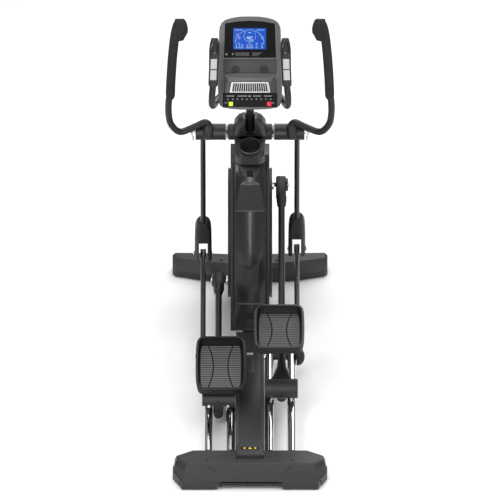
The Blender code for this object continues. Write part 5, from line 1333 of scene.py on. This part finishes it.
# pulse grips: thumb pads with a ring, and bright plates
for side, sign in (("right", 1), ("left", -1)):
    line = [Vector((sign * x, y, z)) for x, y, z in ((0.1664, 1.0768, 1.4705), (0.1581, 1.1640, 1.6690))]
    along = (line[1] - line[0]).normalized()
    face_out = Vector((0, -along.z, along.y)).normalized()
    plates = []
    for a, b in ((0.030, 0.074), (0.080, 0.124)):
        rings = []
        for wide, pad, out in ((0.0142, 0.0008, 0.0185), (0.0142, 0.0008, 0.0236), (0.0134, 0.0, 0.0246)):
            rings.append([tuple(line[0] + along * t + face_out * (out - 0.0030 * (u / 0.014) ** 2) + Vector((u, 0, 0))) for u, t in [(-wide + 2 * wide * k / 8, a - pad) for k in range(9)] + [(wide - 2 * wide * k / 8, b + pad) for k in range(9)]])
        plates.append(ring_loft("t", rings))
    extra(gather("pulse_plates_" + side, plates), "frame", "sensor")
    tip = line[0] + along * 0.1745

    def pad_ring(radius, tall, d):
        return [tuple(tip + Vector((radius * math.cos(TAU * i / 48), 0, 0)) + along * (tall * math.sin(TAU * i / 48) - 0.002) + face_out * d) for i in range(48)]

    extra(ring_loft("thumb_ring_" + side, [pad_ring(0.0172, 0.0270, 0.0130), pad_ring(0.0200, 0.0310, 0.0130), pad_ring(0.0198, 0.0308, 0.0215), pad_ring(0.0185, 0.0290, 0.0232), pad_ring(0.0172, 0.0270, 0.0225)], closed=True), "frame", "black_plastic")
    extra(ring_loft("thumb_pad_" + side, [pad_ring(0.0169, 0.0267, 0.0100), pad_ring(0.0169, 0.0267, 0.0222), pad_ring(0.0135, 0.0200, 0.0235)]), "frame", "gloss_black")

# ---- drive housing, rear face: the profile is followed down from the top
FACE = smooth_path([(0, y, z) for y, z in OUTER[:8]], 3)
FACE_V = [489 - 222 * (0.5 * p.y + 0.8660 * p.z) for p in FACE]


def face_at(x, v, out):
    for k in range(len(FACE) - 1):
        if FACE_V[k + 1] <= v <= FACE_V[k] or k == len(FACE) - 2:
            t = (FACE_V[k] - v) / (FACE_V[k] - FACE_V[k + 1])
            t = min(1.0, max(0.0, t))
            p = FACE[k].lerp(FACE[k + 1], t)
            along = (FACE[k + 1] - FACE[k]).normalized()
            return (x, p.y - along.z * out, p.z + along.y * out)


def face_body(name, rows, under=-0.003, count=28, power=2.0):
    """A crowned shell on the rear face: rows of (v, half width, stand-out at the edge, stand-out in the middle)."""
    rings = []
    for v, half_, edge, middle in rows:
        ring = []
        for k in range(count + 1):
            t = -1 + 2 * k / count
            ring.append(face_at(t * half_, v, edge + (middle - edge) * (1 - abs(t) ** power)))
        for k in range(count + 1):
            t = 1 - 2 * k / count
            ring.append(face_at(t * half_, v, under))
        rings.append(ring)
    return ring_loft(name, rings)


def eased(rows, steps=5):
    """Rows blended smoothly from one to the next."""
    pts = [Vector(r + (0,) * (4 - len(r))) for r in rows]
    out = []
    for i in range(len(pts) - 1):
        p0, p1, p2, p3 = pts[max(i - 1, 0)], pts[i], pts[i + 1], pts[min(i + 2, len(pts) - 1)]
        for k in range(steps):
            t = k / steps
            out.append(tuple(0.5 * ((2 * p1) + (p2 - p0) * t + (2 * p0 - 5 * p1 + 4 * p2 - p3) * t * t + (3 * p1 - p0 - 3 * p2 + p3) * t**3)))
    return out + [tuple(pts[-1])]


# the whole rear face, crowned
base_face = face_body("rear_face", eased([(327.0, 0.0640, 0.0012, 0.0060), (304.5, 0.0660, 0.0012, 0.0085), (285.0, 0.0672, 0.0012, 0.0090), (240.0, 0.0684, 0.0012, 0.0090), (200.0, 0.0684, 0.0012, 0.0085), (172.0, 0.0660, 0.0012, 0.0065), (158.5, 0.0600, 0.0012, 0.0040)]), under=0.0004, power=2.2)
hole = [face_at(x, v, 0.02) for x, v in ((-0.0160, 179.5), (0.0130, 179.5), (0.0130, 170.5), (-0.0160, 170.5))]
extra(base_face, "frame", "housing_gloss")
# a rim along the bottom of the rear face, painted lighter as a highlight
rows = [(304.2, 0.0600, 0.0060, 0.0118), (303.6, 0.0622, 0.0070, 0.0128), (302.4, 0.0622, 0.0070, 0.0122)]
extra(face_body("rear_rim", rows, under=0.0020), "frame", "painted_highlight_grey")
# a low slot on the rear face, filled with a black plate as painted shade
extra(face_body("rear_low_slot", [(332.5, 0.0137, 0.0090, 0.0094), (318.5, 0.0137, 0.0105, 0.0109)], under=0.0020, power=8.0), "frame", "shade_and_print_black")
# upper tongue, with a round lower end
rows = [(268.6, 0.010, 0.0075, 0.0120), (268.2, 0.020, 0.0070, 0.0150), (266.8, 0.0330, 0.0065, 0.0165), (263.5, 0.0460, 0.0060, 0.0175), (258.0, 0.0550, 0.0055, 0.0180), (250.0, 0.0610, 0.0050, 0.0175), (240.0, 0.0636, 0.0045, 0.0170), (225.0, 0.0640, 0.0040, 0.0155), (212.0, 0.0640, 0.0036, 0.0140), (210.4, 0.0640, 0.0034, 0.0135)]
extra(face_body("rear_tongue", eased(rows, 4), under=0.0020), "frame", "housing_gloss")
rows = [(287.8, 0.008, 0.0070, 0.0105), (287.3, 0.018, 0.0065, 0.0125), (285.4, 0.0300, 0.0060, 0.0135), (281.0, 0.0400, 0.0055, 0.0140), (274.0, 0.0470, 0.0050, 0.0140), (262.0, 0.0500, 0.0045, 0.0130)]
extra(face_body("rear_tongue_lower", eased(rows, 4), under=0.0020), "frame", "charcoal_plastic")
# flat upper panel, its bright lower edge and the chamfer above it, both painted lighter as highlights
rows = [(209.4, 0.0650, 0.0070, 0.0150), (208.6, 0.0655, 0.0075, 0.0152), (196.0, 0.0560, 0.0080, 0.0140), (185.2, 0.0455, 0.0085, 0.0125), (184.6, 0.0445, 0.0075, 0.0115)]
extra(face_body("rear_panel_upper", rows, under=0.0020, power=6.0), "frame", "panel_flat")
rows = [(211.0, 0.0645, 0.0040, 0.0150), (210.2, 0.0652, 0.0060, 0.0172), (209.5, 0.0652, 0.0060, 0.0166)]
extra(face_body("rear_panel_edge", rows, under=0.0020), "frame", "painted_highlight_grey")
rows = [(184.4, 0.0440, 0.0080, 0.0130), (182.0, 0.0370, 0.0080, 0.0118), (180.2, 0.0300, 0.0060, 0.0095)]
extra(face_body("rear_panel_chamfer", rows, under=0.0020, power=6.0), "frame", "painted_highlight_grey")
# the handle slot and the curved ribs beside it: the slot and the grooves are black as painted shade, the ribs are
# painted lighter as highlights
rows = [(179.6, 0.0150, 0.0075, 0.0078), (170.4, 0.0155, 0.0075, 0.0078)]
extra(face_body("rear_slot", rows, under=0.0020, power=8.0), "frame", "shade_and_print_black")
for side, sign in (("right", 1), ("left", -1)):
    for name, look_, shift, thick in (("rear_groove_", "shade_and_print_black", 0.0, 0.0026), ("rear_rib_", "painted_highlight_grey", -0.0050, 0.0019)):
        path = []
        for k in range(13):
            t = k / 12
            x = 0.0520 + shift - (0.0520 - 0.0245) * t ** 1.6
            path.append(face_at(sign * x, 165.5 + 13.5 * t, 0.0068 if name == "rear_groove_" else 0.0078))
        extra(bar_along(name + side, path, thick, None, 12, [0.25 + 0.75 * math.sin(math.pi * min(1.0, 0.12 + k / 13)) for k in range(13)]), "frame", look_)
    # long rounded strips at the sides of the rear face; the seam beside each is a black bar of painted shade
    path = [face_at(sign * 0.0735, v, -0.0002) for v in [162 + 6 * k for k in range(26)]]
    extra(bar_along("rear_seam_" + side, path, 0.0019, None, 10), "frame", "shade_and_print_black")
    path = [face_at(sign * 0.0790, v, -0.0016) for v in [163 + 6 * k for k in range(25)]]
    extra(bar_along("rear_strip_" + side, path, 0.0034, None, 16), "frame", "charcoal_plastic")

# spine cover: side strips, bracket, bright bar, and a black warning band with yellow marks
for side, sign in (("right", 1), ("left", -1)):
    extra(box("spine_strip_" + side, *sorted((sign * 0.0500, sign * 0.0632)), 0.1950, 1.2100, 0.1165, 0.1198, None, 0.0014, 3), "frame", "strip_grey")
extra(box("spine_bracket", -0.0200, 0.0200, 0.8350, 0.9950, 0.1170, 0.1196, None, 0.0010, 2), "frame", "charcoal_plastic")
extra(box("spine_bright_bar", -0.0150, 0.0140, 1.0020, 1.0180, 0.1172, 0.1218, None, 0.0016, 3), "frame", "silver_plastic")
extra(box("spine_warning_band", -0.0420, 0.0420, 0.1620, 0.1800, 0.1170, 0.1188, None, 0.0006, 1), "frame", "shade_and_print_black")
tri = [ring_loft("t", [[(x + p, 0.1710 + q, h) for p, q in shape] for h in (0.1180, 0.1194)]) for x, shape in ((-0.0240, [(0.0052 * math.cos(TAU * k / 16), 0.0052 * math.sin(TAU * k / 16)) for k in range(16)]), (0.0, [(-0.0080, -0.0060), (0.0080, -0.0060), (0.0, 0.0080)]), (0.0240, [(0.0052 * math.cos(TAU * k / 16), 0.0052 * math.sin(TAU * k / 16)) for k in range(16)]))]
extra(gather("spine_marks", tri), "frame", "yellow")

# rear cover: screw wells and creases, as black marks of painted shade
wells = []
for sign in (1, -1):
    wells.append(ring_loft("t", [[(sign * 0.1910 + p, 0.0940 + q, h) for p, q in circle(16, r)] for h, r in ((0.0980, 0.0052), (0.1003, 0.0052), (0.1006, 0.0046))]))
extra(gather("rear_screw_wells", wells), "frame", "shade_and_print_black")
creases = []
for sign in (1, -1):
    for x0, x1, y0, y1 in ((0.2000, 0.1560, 0.0640, 0.0330), (0.0640, 0.0720, 0.0700, 0.0340)):
        creases.append(bar_along("t", [(sign * x0, y0 + 0.006, 0.0990), (sign * (x0 * 0.6 + x1 * 0.4), y0 * 0.6 + y1 * 0.4, 0.0882 + 0.0012), (sign * x1, y1, 0.0792)], 0.0012, None, 8))
extra(gather("rear_creases", creases), "frame", "shade_and_print_black")
# front cover screw wells, black discs of painted shade
wells = []
for x in (0.1216, -0.1306):
    wells.append(ring_loft("t", [[(x + p, 1.9140 + q, h) for p, q in circle(16, r)] for h, r in ((0.0820, 0.0075), (0.0843, 0.0075), (0.0846, 0.0068))]))
extra(gather("front_screw_wells", wells), "frame", "shade_and_print_black")

# bolts and caps on the moving parts, and the treads
for side, sign in (("right", 1), ("left", -1)):
    pose = POSE[side]
    axle, foot, fork, pin = pose["axle"], pose["foot"], pose["fork"], pose["pin"]
    arm = Frame(axle, pose["beta"])
    link = Frame(foot, pose["theta"])
    tray = Frame(link.at(0, -PEDAL_A, PEDAL_B)[1:], pose["theta"] + PEDAL_T)

    # tread: ribs across, parted by two curved grooves
    ribs = []
    for k in range(19):
        q = -0.1530 + 0.0170 * k
        edge_ = 0.0905 * (1 - 0.035 * (q / 0.188) ** 2) * (1 - 0.10 * max(0.0, (abs(q) - 0.12) / 0.05) ** 2)
        groove = 0.0330 + 0.0200 * (q / 0.150) ** 2
        for a, b in ((-edge_, -groove - 0.0026), (-groove + 0.0026, groove - 0.0026), (groove + 0.0026, edge_)):
            rings = []
            for n, back_ in ((-0.0140, 0.0), (-0.0112, 0.0006), (-0.0106, 0.0014)):
                ring = []
                for t in range(7):
                    x = a + back_ + (b - a - 2 * back_) * t / 6
                    ring.append(tray.at(sign * PEDAL_X + x, q - 0.0044 + back_ * 0.8, n))
                for t in range(7):
                    x = b - back_ - (b - a - 2 * back_) * t / 6
                    ring.append(tray.at(sign * PEDAL_X + x, q + 0.0044 - back_ * 0.8, n))
                rings.append(ring)
            ribs.append(ring_loft("t", rings))
    # the left ribs get the lighter tread and the right ones the darker: painted light and shade on one material
    extra(gather("tread_ribs_" + side, ribs), side + "_foot_link", "tread_" + side)
    bed = []
    for n, shrink in ((-0.0138, 0.0), (-0.0124, 0.0)):
        ring = []
        for p, q in superellipse(0.1860, 0.3320, 9, 28):
            ring.append(tray.at(sign * PEDAL_X + p * (1 - 0.035 * (q / 0.188) ** 2), q, n))
        bed.append(ring)
    extra(ring_loft("tread_bed_" + side, bed), side + "_foot_link", "tread_dark")
    # the two grooves are black bars of painted shade
    grooves = []
    for s_ in (-1, 1):
        path = [tray.at(sign * PEDAL_X + s_ * (0.0330 + 0.0200 * (q / 0.150) ** 2), q, -0.0118) for q in [-0.158 + 0.0158 * k for k in range(21)]]
        grooves.append(bar_along("t", path, 0.0026, None, 10))
    extra(gather("tread_grooves_" + side, grooves), side + "_foot_link", "shade_and_print_black")

    # carriage: bolt heads and a hole (the gusset's web is made, then removed)
    bolts = []
    for x in (0.0990, 0.1850):
        bolts.append(ring_loft("t", [[arm.at(sign * x + r * math.cos(TAU * i / 24), -0.0440 + lift, -0.0120 + r * math.sin(TAU * i / 24)) for i in range(24)] for r, lift in ((0.0072, 0.0), (0.0072, -0.0030), (0.0055, -0.0044))]))
    extra(gather("carriage_bolts_" + side, bolts), side + "_pedal_arm", "steel")
    web = ring_loft("t", [[arm.at(sign * ARM_X + p, 0.0430 + u, w) for p, u in rounded(0.006, 0.016, 0.002, 2)] for w in (0.010, 0.036)])
    bpy.data.objects.remove(web, do_unlink=True)
    # the tab's hole is a black disc of painted shade
    hole_ = ring_loft("carriage_hole_" + side, [[arm.at(sign * ARM_X + r * math.cos(TAU * i / 20), -0.0438 + lift * 0.5, 0.0120 + r * math.sin(TAU * i / 20)) for i in range(20)] for r, lift in ((0.0042, 0.0), (0.0042, -0.0030))])
    extra(hole_, side + "_pedal_arm", "shade_and_print_black")

    # crank head: end washer bolt
    cap = ring_loft("crank_pin_bolt_" + side, [[(sign * x, pin[0] + r * math.cos(TAU * (i + 0.5) / 6), pin[1] + r * math.sin(TAU * (i + 0.5) / 6)) for i in range(6)] for x, r in ((0.1722, 0.0110), (0.1775, 0.0110), (0.1785, 0.0098))])
    extra(cap, side + "_pedal_arm", "steel")
    collar = ring_loft("crank_pin_washer_" + side, [[(sign * x, pin[0] + r * math.cos(TAU * i / 40), pin[1] + r * math.sin(TAU * i / 40)) for i in range(40)] for r, x in ((0.0262, 0.1722), (0.0262, 0.1732), (0.0120, 0.1732), (0.0120, 0.1722))], closed=True)
    extra(collar, side + "_pedal_arm", "steel")
    # head sleeve where the arm's tube enters the block
    sleeve = ring_loft("crank_head_sleeve_" + side, [[arm.at(sign * ARM_X + r * p, u, r * q) for p, q in circle(24, 1.0)] for r, u in ((0.0153, ARM_L - 0.118), (0.0200, ARM_L - 0.114), (0.0226, ARM_L - 0.093), (0.0232, ARM_L - 0.066), (0.0153, ARM_L - 0.065))], closed=True)
    extra(sleeve, side + "_pedal_arm", "charcoal_plastic")

    # swing arm: bright end plates' bolts, fork bolts
    bolt = ring_loft("pivot_bolt_" + side, [[(sign * x, PIVOT[0] + r * math.cos(TAU * i / 6), PIVOT[1] + r * math.sin(TAU * i / 6)) for i in range(6)] for x, r in ((0.2600, 0.0130), (0.2660, 0.0130), (0.2672, 0.0116))])
    extra(bolt, "frame", "steel")
    ring_ = ring_loft("pivot_washer_" + side, [[(sign * x, PIVOT[0] + r * math.cos(TAU * i / 40), PIVOT[1] + r * math.sin(TAU * i / 40)) for i in range(40)] for r, x in ((0.0300, 0.2600), (0.0300, 0.2616), (0.0140, 0.2616), (0.0140, 0.2600))], closed=True)
    extra(ring_, "frame", "black_plastic")
    spacer = ring_loft("pivot_spacer_" + side, [[(sign * x, PIVOT[0] + r * math.cos(TAU * i / 40), PIVOT[1] + r * math.sin(TAU * i / 40)) for i in range(40)] for r, x in ((0.0120, 0.1018), (0.0300, 0.1018), (0.0300, 0.1068), (0.0120, 0.1068))], closed=True)
    extra(spacer, "frame", "black_plastic")
    heads = []
    for x in (LINK_X + 0.0425, LINK_X - 0.0405):
        out_ = 1 if x > LINK_X else -1
        heads.append(ring_loft("t", [[(sign * (x + out_ * h), fork[0] + r * math.cos(TAU * i / 6), fork[1] + r * math.sin(TAU * i / 6)) for i in range(6)] for h, r in ((0.0001, 0.0070), (0.0020, 0.0070), (0.0026, 0.0060))]))
    extra(gather("fork_bolt_heads_" + side, heads), side + "_swing_arm", "steel")

# the rails' cross tubes end in dark moulded caps
for side, sign in (("right", 1), ("left", -1)):
    rings = []
    for x, r in ((0.2104, 0.0391), (0.2124, 0.0406), (0.2200, 0.0401), (0.2300, 0.0366), (0.2392, 0.0286), (0.2454, 0.0156), (0.2472, 0.0030)):
        rings.append([(sign * x, 1.052 + p, RAIL_Z + q) for p, q in circle(16, r)])
    extra(ring_loft("rail_cap_" + side, rings), "frame", "black_plastic")
    shell_ = ring_loft("rail_sleeve_" + side, [[(sign * x, 1.052 + r * math.cos(TAU * i / 32), RAIL_Z + r * math.sin(TAU * i / 32)) for i in range(32)] for x, r in ((0.0880, 0.0141), (0.0880, 0.0150), (0.2120, 0.0150), (0.2120, 0.0141))], closed=True)
    extra(shell_, "frame", "black_plastic")

# a dark drum stands in for the shade between each crank disc and the housing, closing the view
for side, sign in (("right", 1), ("left", -1)):
    rings = []
    for x, r in ((HOUSING_X + 0.0004, 0.2900), (0.0899, 0.2900)):
        rings.append([(sign * x, CRANK[0] + p, CRANK[1] + q) for p, q in circle(36, r)])
    extra(ring_loft("disc_drum_" + side, rings), "crank", "black_plastic")

# tapered boss at the foot of each handlebar
for side, sign in (("right", 1), ("left", -1)):
    rings = []
    for up, r in ((0.0400, 0.0100), (0.0370, 0.0200), (0.0250, 0.0262), (0.0050, 0.0265), (-0.0150, 0.0225), (-0.0300, 0.0180), (-0.0350, 0.0120)):
        rings.append([(sign * (0.1890 + p), 1.4740 + 0.5 * up - 0.866 * q, 1.0060 + 0.866 * up + 0.5 * q) for p, q in circle(10, r)])
    extra(ring_loft("handle_boss_" + side, rings), side + "_swing_arm", "charcoal_plastic")

# a lighter ring on the cup's rim: a painted highlight
rim = ring_loft("bottle_rim", [cup_ring(0.0488, 0.0074, 16), cup_ring(0.0520, 0.0062, 16), cup_ring(0.0523, 0.0072, 16), cup_ring(0.0505, 0.0088, 16)], closed=True)
extra(rim, "frame", "painted_highlight_grey")

# ---------------------------------------------------------------- finishes, and what rides on what
KEEP = {"main_frame", "crank_pulley", "flywheel", "tension_idler", "drive_belt", "fan_rotor", "roller_axle_right", "roller_axle_left"}
for node in KEEP & set(BUILT):
    bpy.data.objects.remove(BUILT.pop(node), do_unlink=True)
for node, obj in frame["nodes"].items():
    obj.data.materials.clear()
    obj.data.materials.append(LOOKS[SLOT[node]])


def finish_piece(obj, look, angle=32):
    obj.data.materials.clear()
    obj.data.materials.append(look)
    if obj.type == "MESH":
        obj.data.shade_smooth()
        obj.data.set_sharp_from_angle(angle=math.radians(angle))


CRISP = {"rear_stabilizer_cover": 12, "front_stabilizer_cover": 12, "mast_cover": 24}
for node, obj in BUILT.items():
    finish_piece(obj, PAINTED.get(node) or LOOKS[SLOT[node]], CRISP.get(node, 32))
    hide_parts(node)
    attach(obj, NODE_BODY[node])
for obj, on, look in EXTRA:
    finish_piece(obj, LOOKS.get(look) or OTHER[look])
    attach(obj, on)

# ---------------------------------------------------------------- floor, light and camera
bm = bmesh.new()
bmesh.ops.create_grid(bm, x_segments=8, y_segments=8, size=20)
mesh = bpy.data.meshes.new("floor")
bm.to_mesh(mesh)
bm.free()
floor = bpy.data.objects.new("floor", mesh)
scene.collection.objects.link(floor)
look, tree, shader = nodes_of("floor")
tree.links.new(ramp(tree, noise(tree, 3.0), [(0.3, (0.90, 0.90, 0.90)), (0.7, (0.93, 0.93, 0.93))]), shader.inputs["Base Color"])
shader.inputs["Roughness"].default_value = 0.9
shader.inputs["Specular IOR Level"].default_value = 0.1
mesh.materials.append(look)
floor.location.z = -0.0005
floor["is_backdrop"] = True

world = bpy.data.worlds.new("studio")
scene.world = world
world.use_nodes = True
sky = world.node_tree
apart = sky.nodes.new("ShaderNodeSeparateXYZ")
sky.links.new(sky.nodes.new("ShaderNodeTexCoord").outputs["Generated"], apart.inputs["Vector"])
sky.links.new(ramp(sky, apart.outputs["Z"], [(0.02, (1.0, 1.0, 1.0)), (0.06, (0.30, 0.30, 0.30)), (0.34, (0.34, 0.34, 0.34)), (0.52, (1.0, 1.0, 1.0))]), sky.nodes["Background"].inputs["Color"])
world.node_tree.nodes["Background"].inputs["Strength"].default_value = 0.62


def area(name, at, aim, size, power, size_y=None):
    light = bpy.data.lights.new(name, "AREA")
    light.shape = "RECTANGLE"
    light.size, light.size_y = size, size_y or size
    light.energy = power
    obj = bpy.data.objects.new(name, light)
    scene.collection.objects.link(obj)
    obj.location = at
    obj.rotation_mode = "QUATERNION"
    obj.rotation_quaternion = (Vector(aim) - Vector(at)).to_track_quat("-Z", "Y")
    return obj


area("key", (-2.2, -3.2, 4.2), (0, 0, 0.6), 2.4, 120)
area("fill", (3.4, -2.0, 2.6), (0, 0, 0.7), 2.2, 60)
area("top", (0, 0.8, 5.0), (0, 0, 0), 4.0, 90)
area("back", (1.0, 4.2, 3.2), (0, 0, 0.9), 2.5, 70)
area("strip", (0.0, -4.4, 1.7), (0, 0.3, 0.6), 0.5, 42, 2.6)

lens = bpy.data.cameras.new("camera")
lens.lens = 1500
lens.sensor_width = 36
lens.clip_start, lens.clip_end = 1.0, 1000.0
camera = bpy.data.objects.new("camera", lens)
scene.collection.objects.link(camera)
away = 2.2523 * 1500 / 36
tilt = math.radians(30)
camera.location = (0, -away * math.cos(tilt), 0.6658 + away * math.sin(tilt))
camera.rotation_mode = "QUATERNION"
camera.rotation_quaternion = Vector((0, math.cos(tilt), -math.sin(tilt))).to_track_quat("-Z", "Y")
scene.camera = camera
scene.view_settings.view_transform = "Standard"

low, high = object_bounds()
